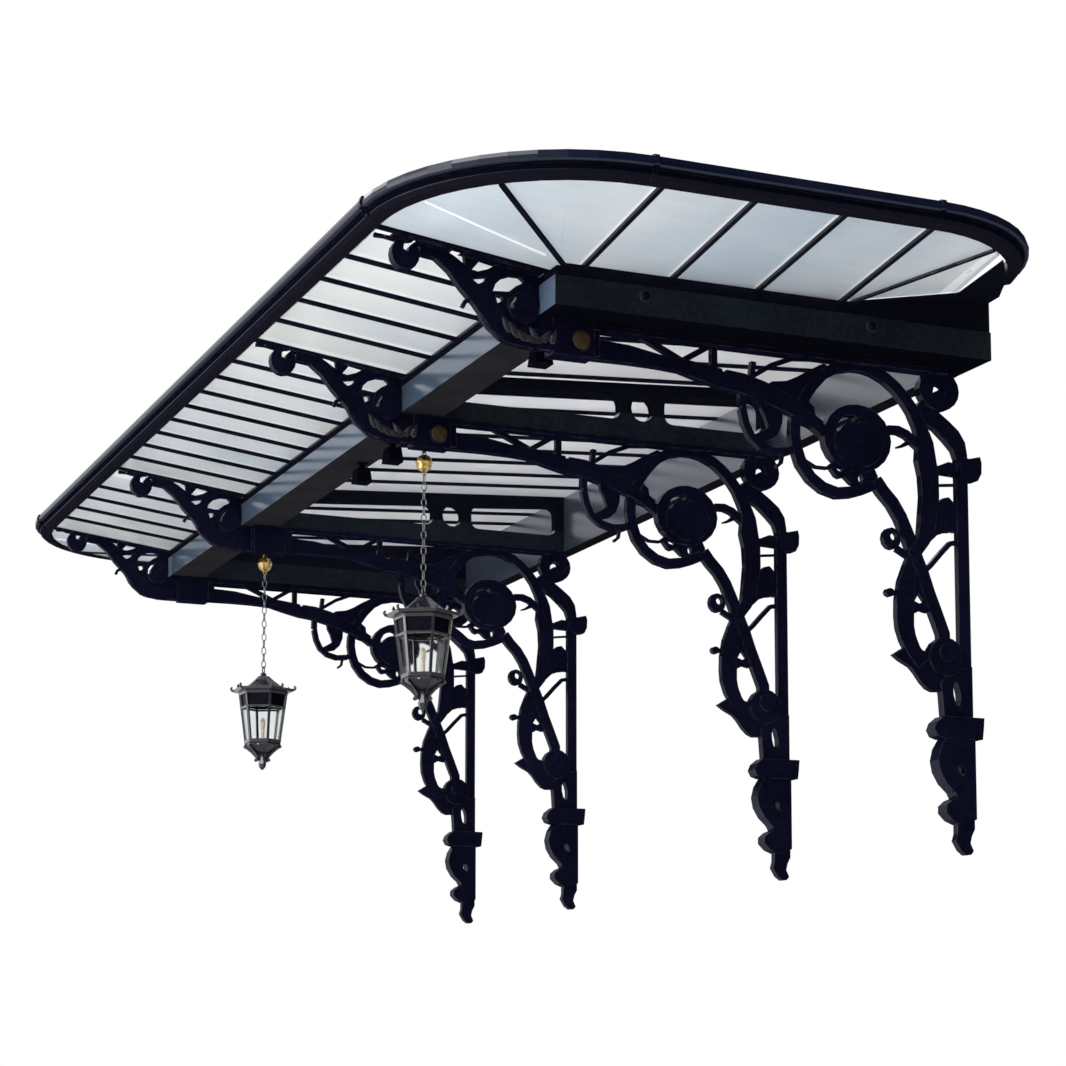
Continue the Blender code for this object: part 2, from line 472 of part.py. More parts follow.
def front_scroll_mesh(bar_shift, staple):
    """The right-hand casting in front of a console, bolted on beside the arm and under its bar."""
    def beyond(points):
        """Points given by their distance in front of the beam's face."""
        return [(-FRONT_REACH - out, z) for out, z in points]

    def flange_height(out):
        return apron_line(out) - GAP - SCROLL_FLANGE / 2

    def place(mesh):
        mesh.transform(Matrix.Translation((SIDE_LAP, 0, 0)))
        return mesh

    inner = SIDE_LAP - FINE_BAND / 2
    outer = bar_shift + BAR_WIDTH / 2
    flange = []
    for out in (GAP, 0.666):
        low = flange_height(out) - SCROLL_FLANGE / 2
        high = low + 2 * SCROLL_FLANGE
        section = ((inner, low), (outer, low), (outer, high), (inner, high))
        flange.append([(x, -FRONT_REACH - out, z) for x, z in section])
    casting = [
        # main band, with the web that carries the openings
        ribbon(beyond([(0.538, 0.222), (0.458, 0.214), (0.386, 0.165), (0.328, 0.095), (0.263, 0.040),
                       (0.223, -0.010), (0.183, -0.060), (0.138, -0.093), (0.058, -0.106),
                       (-0.042, -0.106), (-0.152, -0.100)]),
               [0.055, 0.060, 0.068, 0.070, 0.084, 0.086, 0.088, 0.085, 0.084, 0.084, 0.080],
               BAND),
        plate(beyond([(0.518, 0.195), (0.498, 0.195), (0.468, 0.185), (0.438, 0.170), (0.408, 0.140),
                    (0.378, 0.105), (0.353, 0.075), (0.333, 0.055), (0.308, 0.040), (0.278, -0.010),
                    (0.258, -0.050), (0.233, -0.080), (0.208, -0.100), (0.178, -0.125), (0.128, -0.140),
                    (0.028, -0.150), (-0.072, -0.150),
                    (-0.084, -0.002), (GAP, -0.002), (GAP, flange_height(GAP)),
                    (0.480, flange_height(0.480)), (0.520, flange_height(0.520))]), WEB + 0.006),
        # hook with its tab, and the inner volute
        plate(beyond(ellipse((0.600, 0.188), (0.062, 0.068), 16)), BAND + 0.006),
        plate(beyond([(0.732, 0.247), (0.690, 0.248), (0.630, 0.238), (0.580, 0.225), (0.580, 0.242),
                      (0.640, 0.256), (0.732, 0.264)]), WEB),
        plate(beyond(ellipse((0.073, 0.040), (0.072, 0.086), 18)), BOSS - 0.006),
        ribbon(beyond([(0.300, 0.036), (0.330, 0.022), (0.342, -0.004)]), 0.017, WEB),
    ]
    openings = [
        plate(beyond([(0.428, 0.233), (0.338, 0.218), (0.333, 0.175), (0.378, 0.205)]), THICK),
        plate(beyond([(0.268, 0.206), (0.198, 0.193), (0.233, 0.170), (0.278, 0.155), (0.303, 0.160),
                     (0.278, 0.190)]), THICK),
        plate(beyond([(0.308, 0.120), (0.278, 0.128), (0.238, 0.135), (0.248, 0.115), (0.278, 0.100)]), THICK),
        plate(beyond([(0.208, 0.080), (0.198, 0.110), (0.168, 0.140), (0.128, 0.155), (0.088, 0.155),
                     (0.068, 0.140), (0.078, 0.125), (0.108, 0.110), (0.138, 0.085)]), THICK),
        plate(beyond([(0.198, 0.060), (0.168, 0.065), (0.163, 0.045), (0.188, 0.030)]), THICK),
        plate(beyond([(0.136, 0.012), (0.133, 0.045), (0.113, 0.073), (0.088, 0.083), (0.101, 0.063),
                     (0.116, 0.040), (0.120, 0.012)]), THICK),
        plate(beyond([(0.610, 0.207), (0.608, 0.232), (0.585, 0.246), (0.550, 0.248), (0.570, 0.235),
                     (0.585, 0.217), (0.590, 0.197)]), THICK),
        plate(beyond(ellipse((0.688, 0.2565), (0.006, 0.004), 6)), THICK),
    ]
    # everything above the underside of the bars is cut off
    roof = [(-FRONT_REACH - out, apron_line(out) - GAP) for out in (-0.02, APRON + 0.02)]
    above = plate(roof + [(y, z + 0.1) for y, z in reversed(roof)], 4 * SIDE_LAP + 4 * bar_shift)
    half = SPLICE_HALF
    boss = plate(ellipse(((SPLICE_FRONT + SPLICE_BACK) / 2 + 0.030, -0.090), (0.046, 0.046), 14), BAND)
    boss.transform(Matrix.Translation((SIDE_LAP + 0.010, 0, 0)))
    shapes = [block((-half, SPLICE_FRONT, -SPLICE_DEPTH), (SIDE_LAP + BAND / 2, SPLICE_BACK - GAP, -GAP)),
              boss, loft(flange)] + [place(mesh) for mesh in casting]
    if staple:
        ring = hoop(STAPLE_RADIUS, STAPLE_WIRE, STAPLE_PIVOT + STAPLE_RADIUS * CROWN, "y")
        ring.transform(Matrix.Translation((0, HANG_Y, 0)))
        shapes.append(ring)
    return fuse("front_scroll_casting", shapes, [place(mesh) for mesh in openings] + [above])


def front_beam():
    """A box girder between the side beams, with a sill that carries the glass."""
    y_front = -FRONT_REACH
    y_back = -FRONT_INNER
    crest = bar_line(y_back) - GAP
    shelf = y_front + SILL_STEP + SILL_SHELF
    seat = y_back - ROOF_SEAT
    outline = [(y_front, 0.0), (y_front, BEAM_FACE), (y_front + SILL_STEP, BEAM_FACE),
               (y_front + SILL_STEP, SILL_HEIGHT), (shelf, SILL_HEIGHT),
               (seat, bar_line(seat) - GAP), (y_back, crest), (y_back, 0.0)]
    inset = BEAM_WALL
    hollow = [(y_front + SILL_STEP + inset, inset), (y_front + SILL_STEP + inset, SILL_HEIGHT - inset),
              (shelf, SILL_HEIGHT - inset), (seat, bar_line(seat) - GAP - inset),
              (y_back - inset, crest - inset), (y_back - inset, inset)]
    end = SIDE_INNER - GAP
    body = loft([[(x, y, z) for y, z in outline] for x in (-end, end)])
    core = loft([[(x, y, z) for y, z in hollow] for x in (-end - 0.01, end + 0.01)])
    return fuse("front_beam_box", [body], [core])


def side_beam():
    """The right-hand box girder; its inner part rises with the roof, its end stops at the wall."""
    x_out = SIDE_REACH
    x_in = SIDE_INNER
    rise = SIDE_INNER + SIDE_UPSTAND
    wall = BEAM_WALL
    step = -FRONT_REACH + SILL_STEP
    shelf = step + SILL_SHELF

    def upstand(y0, y1, inset):
        loops = []
        for y in (y0, y1):
            crest = bar_line(y) - GAP - inset
            loops.append([(rise - inset, y, inset), (rise - inset, y, crest),
                          (x_in + inset, y, crest), (x_in + inset, y, inset)])
        return loft(loops)

    back = -SIDE_WALL_GAP
    face = block((x_in, -FRONT_REACH, 0.0), (x_out, back, BEAM_FACE))
    sill = block((x_in, step, 0.0), (x_out - SILL_STEP, back, SILL_HEIGHT))
    core = block((x_in + wall, step + wall, wall), (x_out - SILL_STEP - wall, 0.01, SILL_HEIGHT - wall))
    return fuse("side_beam_box", [face, sill, upstand(shelf, back, 0.0)],
                [core, upstand(shelf + wall, 0.01, wall)])


def mirrored(mesh, name):
    """A copy of the mesh, turned over x = 0 with its faces still outward."""
    body = bmesh.new()
    body.from_mesh(mesh)
    for vert in body.verts:
        vert.co.x = -vert.co.x
    bmesh.ops.reverse_faces(body, faces=body.faces)
    result = bpy.data.meshes.new(name)
    body.to_mesh(result)
    body.free()
    return result


def wall_beam():
    """The box girder along the wall, which holds the whole canopy; its top follows the roof."""
    def tube(end, inset):
        front = -WALL_BEAM_DEPTH + inset
        back = -inset
        outline = [(front, inset), (back, inset), (back, bar_line(back) - GAP - inset),
                   (front, bar_line(front) - GAP - inset)]
        return loft([[(x, y, z) for y, z in outline] for x in (-end, end)])

    end = SIDE_INNER - GAP
    return fuse("wall_beam_box", [tube(end, 0.0)], [tube(end + 0.01, BEAM_WALL)])


def girder_mesh():
    """A cross girder with two long openings and an oval one between two posts."""
    front = -FRONT_INNER + GAP
    back = -WALL_BEAM_DEPTH - GAP
    slope = (GIRDER_BACK_TOP - GIRDER_FRONT_TOP) / (back - front)

    def top(y):
        return GIRDER_FRONT_TOP + slope * (y - front)

    def opening(y0, y1, round_left, round_right):
        low = CHORD
        corner = 0.045
        points = []
        for y, sign, is_round in ((y0, -1, round_left), (y1, 1, round_right)):
            high = top(y) - TOP_CHORD
            radius = corner if is_round else 0.004
            lower = arc((y - sign * radius, low + radius), radius, 270, 270 + sign * 90, 4)
            upper = arc((y - sign * radius, high - radius), radius, 90 - sign * 90, 90, 4)
            points.append(lower + upper)
        return plate(points[1] + list(reversed(points[0])), 2 * GIRDER_THICKNESS)

    half_oval = OVAL_WIDTH / 2
    oval_high = (CHORD + top(OVAL_CENTRE) - TOP_CHORD) / 2
    body = plate([(front, 0.0), (back, 0.0), (back, top(back)), (front, top(front))],
                 GIRDER_THICKNESS)
    cuts = [
        opening(front + 0.10, OVAL_CENTRE - half_oval - OVAL_POST, False, True),
        opening(OVAL_CENTRE + half_oval + OVAL_POST, -END_PLATE, True, True),
        plate(ellipse((OVAL_CENTRE, oval_high), (half_oval, oval_high - CHORD), 14),
              2 * GIRDER_THICKNESS),
    ]
    return fuse("cross_girder_plate", [body], cuts)


def rim_outline():
    """Section of the rim: distance outside the glass line, and height above the rim's base."""
    w = RIM_WIDTH
    h = RIM_HEIGHT
    return [(0.0, 0.0), (0.50 * w, 0.10 * h), (0.66 * w, 0.26 * h), (0.70 * w, 0.50 * h),
            (0.80 * w, 0.56 * h), (0.97 * w, 0.60 * h), (w, 0.78 * h), (0.93 * w, 0.97 * h),
            (0.80 * w, h), (0.14 * w, h), (0.14 * w, 0.36 * h), (0.0, 0.36 * h)]


def rim_section(path, normals):
    """Sweep the rim's outline along plan points with their outward directions."""
    loops = []
    for (x, y), (nx, ny) in zip(path, normals):
        loops.append([(x + nx * out, y + ny * out, RIM_BASE + up) for out, up in rim_outline()])
    return loft(loops)


def quarter(centre, reach, start, end, steps):
    """Plan points and outward directions along part of an ellipse."""
    path = []
    normals = []
    for step in range(steps + 1):
        angle = math.radians(start + (end - start) * step / steps)
        path.append((centre[0] + reach[0] * math.cos(angle), centre[1] + reach[1] * math.sin(angle)))
        normal = Vector((math.cos(angle) / reach[0], math.sin(angle) / reach[1])).normalized()
        normals.append(tuple(normal))
    return path, normals


def corner_reach():
    return RIM_REACH_X - RIM_JOINT_X, RIM_JOINT_Y + RIM_REACH_Y


def rear_reach():
    return APRON, -SIDE_LAST_BAR - REAR_INSET


def rim_pieces():
    """The seven rim sections as (name, mesh), from the front round both sides."""
    front = [(-RIM_JOINT_X + GAP, -RIM_REACH_Y), (RIM_JOINT_X - GAP, -RIM_REACH_Y)]
    pieces = [("front_rim", rim_section(front, [(0, -1)] * 2))]
    split = math.degrees(GAP / min(corner_reach()))
    corner = rim_section(*quarter((RIM_JOINT_X, RIM_JOINT_Y), corner_reach(),
                                  -90 + split, -split, RIM_CORNER_STEPS))
    side = rim_section([(RIM_REACH_X, RIM_JOINT_Y + GAP), (RIM_REACH_X, SIDE_LAST_BAR - GAP)],
                       [(1, 0)] * 2)
    rear = rim_section(*quarter((SIDE_REACH, SIDE_LAST_BAR), rear_reach(),
                                split, REAR_SWEEP, RIM_CORNER_STEPS - 2))
    for name, mesh in (("corner_rim", corner), ("side_rim", side), ("rear_rim", rear)):
        pieces.append((name + "_right", mesh))
        pieces.append((name + "_left", mirrored(mesh, name + "_left")))
    return pieces


def beside(points, distance):
    """A line moved to the right of its direction by a distance, with mitred corners."""
    normals = []
    for (y0, z0), (y1, z1) in zip(points, points[1:]):
        normals.append(Vector((z1 - z0, y0 - y1)).normalized())
    moved = []
    for index, point in enumerate(points):
        before = normals[max(index - 1, 0)]
        after = normals[min(index, len(normals) - 1)]
        moved.append(tuple(Vector(point) + (before + after) * distance / (1 + before.dot(after))))
    return moved


def strap_mesh():
    """A flat strap that hugs the rim's outer face, drawn for a rim that faces +x."""
    line = rim_outline()[1:10]
    loop = beside(line, GAP) + list(reversed(beside(line, GAP + STRAP_THICKNESS)))
    half = STRAP_WIDTH / 2
    return loft([[(out, y, up) for out, up in loop] for y in (-half, half)])


def straps():
    """Strap places as (name, x, y, turn in degrees): one over each rim joint."""
    names = []
    for side, sign in (("right", 1), ("left", -1)):
        names.append(("front_strap_" + side, sign * RIM_JOINT_X, -RIM_REACH_Y, -90))
        names.append(("side_strap_" + side, sign * RIM_REACH_X, RIM_JOINT_Y,
                      0 if sign > 0 else 180))
        names.append(("rear_strap_" + side, sign * RIM_REACH_X, SIDE_LAST_BAR,
                      0 if sign > 0 else 180))
    return names


def sloped_bar(start, end, width=BAR_WIDTH, height=BAR_HEIGHT):
    """A glazing bar between two points of its underside."""
    a = Vector(start)
    b = Vector(end)
    side = Vector((-(b - a).y, (b - a).x, 0)).normalized() * width / 2
    up = Vector((0, 0, height))
    loops = []
    for point in (a, b):
        loops.append([tuple(point - side), tuple(point + side), tuple(point + side + up),
                      tuple(point - side + up)])
    return loft(loops)


def front_apron_bars():
    """Front apron bars on a rail that lies on the front beam's sill."""
    rail = -FRONT_REACH + SILL_STEP + RAIL_STEP
    end = CORNER_X + BAR_WIDTH / 2 - RAIL_STEP
    shapes = [block((-end, rail, SILL_HEIGHT + GAP), (end, rail + BAR_WIDTH, RAIL_TOP))]
    for x in bar_positions():
        start = (x, -FRONT_REACH + APRON_ROOT - RAIL_STEP, apron_line(RAIL_STEP - APRON_ROOT))
        shapes.append(sloped_bar(start, (x, -RIM_REACH_Y + GAP, apron_line(APRON - GAP))))
    return fuse("front_apron_grid", shapes)


def fan_bar(centre, reach, step, steps, start):
    """A bar from a beam's corner to the middle of a facet of a rounded rim."""
    path, normals = quarter(centre, reach, *steps)
    x, y = (Vector(path[step]) + Vector(path[step + 1])) / 2
    end = Vector((x, y)) + (Vector(start[:2]) - Vector((x, y))).normalized() * FAN_GAP
    return sloped_bar(start, (end.x, end.y, apron_line(APRON) - FAN_DROP), BAR_WIDTH, BAR_HEIGHT - FAN_DROP)


def side_apron_bars():
    """Side bars and the two fan bars of the right-hand side on their rail."""
    rail = SIDE_REACH - SILL_STEP - RAIL_STEP
    first = -FRONT_REACH + APRON_ROOT + RAIL_STEP
    hub = SIDE_REACH - APRON_ROOT + RAIL_STEP
    low = apron_line(RAIL_STEP - APRON_ROOT)
    shapes = [block((rail - BAR_WIDTH, first, SILL_HEIGHT + GAP), (rail, CLOSING_EDGE - 0.010, RAIL_TOP))]
    for index in range(SIDE_BARS):
        y = SIDE_FIRST_BAR + SIDE_BAR_PITCH * index
        short = JOINT_GAP if index == SIDE_BARS - 1 else GAP
        shapes.append(sloped_bar((hub, y, low), (RIM_REACH_X - short, y, apron_line(APRON - short))))
    shapes.append(fan_bar((RIM_JOINT_X, RIM_JOINT_Y), corner_reach(), 6,
                          (-90, 0, RIM_CORNER_STEPS), (hub, first + 0.02, low)))
    shapes.append(fan_bar((SIDE_REACH, SIDE_LAST_BAR), rear_reach(), 4,
                          (0, REAR_SWEEP, RIM_CORNER_STEPS - 2), (hub, SIDE_LAST_BAR + 0.03, low)))
    return fuse("side_apron_grid", shapes)


def roof_bars():
    """Roof bars on a front rail and a wall rail."""
    front = -FRONT_INNER - BAR_WIDTH
    back = -BAR_WIDTH
    edge = SIDE_INNER + SIDE_UPSTAND / 2
    shapes = []
    for y in (front, back):
        ends = (y - BAR_WIDTH / 2, y + BAR_WIDTH / 2)
        outline = [(end, bar_line(end) + 2 * GAP) for end in ends]
        outline += [(end, bar_line(end) + BAR_HEIGHT - GAP) for end in reversed(ends)]
        rail = edge - RAIL_STEP
        shapes.append(loft([[(x, u, v) for u, v in outline] for x in (-rail, rail)]))
    spots = [-edge + BAR_WIDTH / 2] + bar_positions()[1:-1] + [edge - BAR_WIDTH / 2]
    for x in spots:
        shapes.append(sloped_bar((x, front, bar_line(front) + GAP), (x, back, bar_line(back) + GAP)))
    return fuse("roof_grid", shapes)


def sheet(points, heights):
    """A glass sheet over plan points with their lower heights."""
    low = [(x, y, z) for (x, y), z in zip(points, heights)]
    high = [(x, y, z + GLASS) for x, y, z in low]
    return loft([low, high])


def apron_sheet(points):
    lift = BAR_HEIGHT + 2 * GAP
    heights = []
    for x, y in points:
        heights.append(apron_line(-y - FRONT_REACH) + lift)
    return sheet(points, heights)


def build_glass():
    """Apron and roof glass, one sheet for each bay or side."""
    bars = bar_positions()
    left = bars[END_BARS + 1]
    right = bars[END_BARS + 1 + MIDDLE_BARS]
    bays = (("left", -CORNER_X, left), ("middle", left, right), ("right", right, CORNER_X))
    outer = -RIM_REACH_Y + GLASS_LAP
    inner = -FRONT_REACH + SILL_STEP + BAR_WIDTH
    edge = SIDE_INNER + SIDE_UPSTAND / 2
    pieces = []
    for bay, x0, x1 in bays:
        a = x0 + GAP
        b = x1 - GAP
        pieces.append(("front_glass_" + bay, apron_sheet([(a, outer), (b, outer), (b, inner), (a, inner)])))
        a = -edge if bay == "left" else a
        b = edge if bay == "right" else b
        corners = [(a, -FRONT_INNER - 0.050), (b, -FRONT_INNER - 0.050), (b, -0.012), (a, -0.012)]
        heights = [bar_line(y) + BAR_HEIGHT + 3 * GAP for x, y in corners]
        pieces.append(("roof_glass_" + bay, sheet(corners, heights)))
    pieces.append(("side_glass_right", side_glass()))
    pieces.append(("side_glass_left", mirrored(side_glass(), "side_glass_left")))
    return pieces


def side_glass():
    """The right-hand apron glass with its rounded front and rear corners, as one curved sheet."""
    inner = SIDE_REACH - SILL_STEP - BAR_WIDTH
    lift = BAR_HEIGHT + 2 * GAP
    shrink = GLASS_LAP
    front_path = quarter((RIM_JOINT_X, RIM_JOINT_Y),
                         (corner_reach()[0] - shrink, corner_reach()[1] - shrink), -89.9, 0, 8)[0]
    rear = (rear_reach()[0] - shrink, rear_reach()[1] - shrink)
    end = CLOSING_EDGE - 0.015
    turn = CHEEK_START - 0.012
    angles = [math.degrees(math.asin((y - SIDE_LAST_BAR) / rear[1])) for y in (turn, end)]
    rear_path = quarter((SIDE_REACH, SIDE_LAST_BAR), rear, 0, angles[0], 1)[0]
    rear_path += quarter((SIDE_REACH, SIDE_LAST_BAR), rear, *angles, 3)[0][1:]
    outer = [(CORNER_X + GAP, -RIM_REACH_Y + shrink)] + front_path + rear_path
    hub_front = -FRONT_REACH + SILL_STEP + BAR_WIDTH
    hubs = []
    for x, y in outer:
        if y <= RIM_JOINT_Y:
            along = min(max((x - CORNER_X) / (RIM_REACH_X - CORNER_X), 0.0), 1.0)
            hubs.append((CORNER_X + GAP + (inner - CORNER_X) * along, hub_front + 0.01 * along))
        elif y <= SIDE_LAST_BAR:
            hubs.append((inner, y))
        else:
            share = (y - turn) / (end - turn)
            hubs.append((cheek_face() + GAP + (CLOSING_X - 0.010 - cheek_face()) * share, y))
    loops = []
    for (x, y), (hx, hy) in zip(outer, hubs):
        low = apron_line(max(hx - SIDE_REACH, -hy - FRONT_REACH)) + lift
        high = apron_line(APRON - shrink) + lift
        loops.append([(hx, hy, low), (x, y, high), (x, y, high + GLASS), (hx, hy, low + GLASS)])
    return loft(loops)


def cheek_face():
    """Outer face of a closing plate's cheek, which stands on the ledge of the side beam."""
    return SIDE_REACH - SILL_STEP + GAP + CHEEK


def closing_plate():
    """The black cover over the apron's end at the wall: a rising cheek and a bent lid."""
    inner = SIDE_REACH - SILL_STEP + GAP
    back = -2 * SIDE_WALL_GAP
    ledge = BEAM_FACE + GAP
    low = SILL_HEIGHT + BAR_HEIGHT + CHEEK
    profile = [(CHEEK_START, ledge), (back, ledge), (back, CLOSING_TOP), (CHEEK_END, CLOSING_TOP),
               (CHEEK_START, low)]
    cheek = loft([[(x, y, z) for y, z in profile] for x in (inner, cheek_face())])
    reach = (rear_reach()[0] - FAN_GAP, rear_reach()[1] - FAN_GAP)
    start = math.degrees(math.asin((CLOSING_EDGE - SIDE_LAST_BAR) / reach[1]))
    rim_side = quarter((SIDE_REACH, SIDE_LAST_BAR), reach, start, REAR_SWEEP, 2)[0]
    outer = [(cheek_face() + GAP, CHEEK_START), (CLOSING_X - 0.010, CLOSING_EDGE - 0.003)] + rim_side
    middle = (CHEEK_START + CHEEK_END) / 2
    along = [(CHEEK_START + CHEEK / 2, low), (middle, (low + CLOSING_TOP) / 2), (CHEEK_END, CLOSING_TOP),
             (CHEEK_END / 2, CLOSING_TOP), (back - CHEEK / 2, CLOSING_TOP)]
    loops = []
    for (y, top), (x, outer_y) in zip(along, outer):
        edge = min(apron_line(x - SIDE_REACH) + BAR_HEIGHT, CLOSING_TOP)
        loops.append([(inner + CHEEK / 2, y, top - CHEEK), (x, outer_y, edge), (x, outer_y, edge + CHEEK),
                      (inner + CHEEK / 2, y, top - CHEEK / 3)])
    return fuse("closing_plate_shape", [cheek, loft(loops)])


def turned(profile, sides, phase=0.0):
    """A solid turned about z from (radius, height) pairs, listed from top to bottom."""
    loops = []
    for radius, height in profile:
        loops.append([(radius * math.cos(phase + 2 * math.pi * side / sides),
                       radius * math.sin(phase + 2 * math.pi * side / sides), height)
                      for side in range(sides)])
    return loft(loops)


def hoop(radius, wire, height, axis, rise=None):
    """A closed wire ring in an upright plane; the axis names its flat direction.

    The rise is the half height of the wire's centre line where the ring is a long link.
    """
    around = 8
    stretch = radius if rise is None else rise / CROWN
    loops = []
    for step in range(around):
        angle = 2 * math.pi * (step + 0.5) / around
        loop = []
        for side in range(4):
            turn = math.pi * side / 2
            out = wire * math.cos(turn)
            across = (radius + out) * math.cos(angle)
            up = height + (stretch + out) * math.sin(angle)
            depth = wire * math.sin(turn)
            loop.append((depth, across, up) if axis == "x" else (across, depth, up))
        loops.append(loop)
    return loft(loops, ring=True)


def brass_ball():
    """Ball with an eye above, which hangs on the staple's wire, and one below for the chain."""
    r = BALL_RADIUS
    ball = turned([(0.010, BALL_CENTRE + r), (0.030, BALL_CENTRE + 0.031), (r, BALL_CENTRE + 0.004),
                   (0.032, BALL_CENTRE - 0.030), (0.012, BALL_CENTRE - r)], 10)
    top_eye = hoop(EYE_RADIUS, EYE_WIRE, BALL_EYE, "x")
    low_eye = hoop(EYE_RADIUS, EYE_WIRE, BALL_PIVOT + EYE_RADIUS * CROWN, "x")
    return fuse("brass_ball_shape", [ball, top_eye, low_eye])


def chain_mesh():
    """The links of a chain, fused at their bights; z = 0 is the wire that they hang on."""
    shapes = []
    for index in range(CHAIN_LINKS):
        axis = "y" if index % 2 == 0 else "x"
        height = FIRST_LINK - index * LINK_PITCH
        shapes.append(hoop(LINK_WIDTH / 2 - LINK_WIRE, LINK_WIRE, height, axis, LINK_RISE))
    return fuse("chain_links", shapes)


def body_radius(depth):
    """Outer radius of the lantern's body, so far below its top."""
    return BODY_TOP_RADIUS + (BODY_BOTTOM_RADIUS - BODY_TOP_RADIUS) * depth / BODY_HEIGHT


def lantern_roof():
    """Six-sided roof with turned-out eaves, its crown and the shackle on the last link."""
    wires = (LINK_WIRE + SHACKLE_WIRE) * CROWN
    shackle = hoop(SHACKLE_RADIUS, SHACKLE_WIRE, wires + GAP - SHACKLE_RADIUS * CROWN, "y")
    crown = turned([(0.010, -0.029), (0.020, -0.036), (0.016, -0.046), (0.036, ROOF_PEAK - 0.012)], 8)
    roof = turned([(0.034, ROOF_PEAK), (0.060, ROOF_PEAK - 0.024), (0.115, EAVES + 0.030),
                   (0.150, EAVES + 0.012), (EAVES_RADIUS, EAVES + 0.018),
                   (EAVES_RADIUS - 0.006, EAVES + 0.003), (BODY_TOP_RADIUS + 0.014, EAVES)], 6)
    void = turned([(0.022, ROOF_PEAK - 0.022), (0.050, ROOF_PEAK - 0.038), (0.104, EAVES + 0.018),
                   (0.124, EAVES - 0.020)], 6)
    return fuse("lantern_roof_shape", [roof, crown, shackle], [void])


def lantern_cage(top):
    """Three bands and six corner posts round the glass."""
    shapes = []
    for depth, tall in ((0.0, 0.016), (0.085, 0.010), (BODY_HEIGHT - 0.020, 0.020)):
        outer = turned([(body_radius(level) + 0.010, top - level)
                        for level in (depth, depth + tall)], 6)
        inner = turned([(body_radius(level) - CAGE_DEPTH, top - level)
                        for level in (depth - 0.010, depth + tall + 0.010)], 6)
        shapes.append(fuse("band", [outer], [inner]))
    for side in range(6):
        angle = math.pi * side / 3
        loops = []
        for depth in (0.004, BODY_HEIGHT - 0.004):
            radius = body_radius(depth)
            loops.append([((radius + out) * math.cos(angle) - aside * math.sin(angle),
                           (radius + out) * math.sin(angle) + aside * math.cos(angle), top - depth)
                          for out, aside in ((-0.004, -0.007), (0.008, -0.007), (0.008, 0.007),
                                             (-0.004, 0.007))])
        shapes.append(loft(loops))
    return fuse("lantern_cage_shape", shapes)


def lantern_glass(top):
    """The six panes as one tapered tube that stands inside the cage's bands."""
    inset = CAGE_DEPTH + GAP / math.cos(math.pi / 6)
    wall = 0.004
    ends = (0.002, BODY_HEIGHT - 0.002)
    outer = turned([(body_radius(depth) - inset, top - depth) for depth in ends], 6)
    void = turned([(body_radius(depth) - inset - wall, top - depth)
                   for depth in (-0.01, BODY_HEIGHT + 0.01)], 6)
    return fuse("lantern_glass_shape", [outer], [void])


def lantern_base(top):
    """Moulded base with its neck and the ball at the foot."""
    r = BODY_BOTTOM_RADIUS
    return turned([(r + 0.006, top), (r + 0.012, top - 0.010), (r - 0.012, top - 0.026),
                   (0.050, top - 0.050), (0.022, top - 0.066), (0.012, top - 0.078),
                   (0.024, FINIAL_TIP + 0.034), (0.020, FINIAL_TIP + 0.016), (0.006, FINIAL_TIP)], 6)


def candle_mesh(foot):
    return turned([(0.008, foot + 0.150), (0.016, foot + 0.132), (0.016, foot + 0.100),
                   (0.012, foot + 0.098), (0.012, foot + 0.030), (0.030, foot + 0.024),
                   (0.034, foot)], 8)


def build_lantern(number, x):
    """The ball, the chain and the lantern's pieces, each with its origin on the wire it hangs on."""
    ball_hang = UNDERSIDE + STAPLE_PIVOT
    chain_hang = ball_hang + BALL_PIVOT
    lantern_hang = chain_hang + CHAIN_PIVOT
    body_top = EAVES - GAP
    body_foot = body_top - BODY_HEIGHT - GAP
    rows = (
        ("brass_ball", brass_ball(), ball_hang, BRASS, 0.35, 1.0),
        ("chain", chain_mesh(), chain_hang, LANTERN_IRON, 0.45, 0.6),
        ("lantern_roof", lantern_roof(), lantern_hang, LANTERN_IRON, 0.45, 0.5),
        ("lantern_cage", lantern_cage(body_top), lantern_hang, LANTERN_IRON, 0.45, 0.5),
        ("lantern_glass", lantern_glass(body_top), lantern_hang, PANE, 0.08, 0.0),
        ("lantern_base", lantern_base(body_foot), lantern_hang, LANTERN_IRON, 0.45, 0.5),
        ("candle", candle_mesh(body_foot + GAP), lantern_hang, WAX, 0.5, 0.0),
    )
    for name, mesh, height, colour, roughness, metallic in rows:
        new_object(f"{name}_{number}", mesh, colour, roughness, metallic, (x, HANG_Y, height))


def spotlight_mesh():
    """A small square spotlight on a bracket, under the front beam."""
    half = SPOT_SIZE / 2
    loops = []
    for reach, height in ((half, SPOT_FOOT), (0.8 * half, SPOT_FOOT + SPOT_HEIGHT)):
        loops.append([(x * reach, y * reach, height) for x, y in ((-1, -1), (1, -1), (1, 1), (-1, 1))])
    head = loft(loops)
    stem = block((-0.012, -0.012, -0.060), (0.012, 0.012, -GAP))
    pad = block((-0.024, -0.024, -0.008), (0.024, 0.024, -GAP))
    return fuse("spotlight_shape", [head, stem, pad])


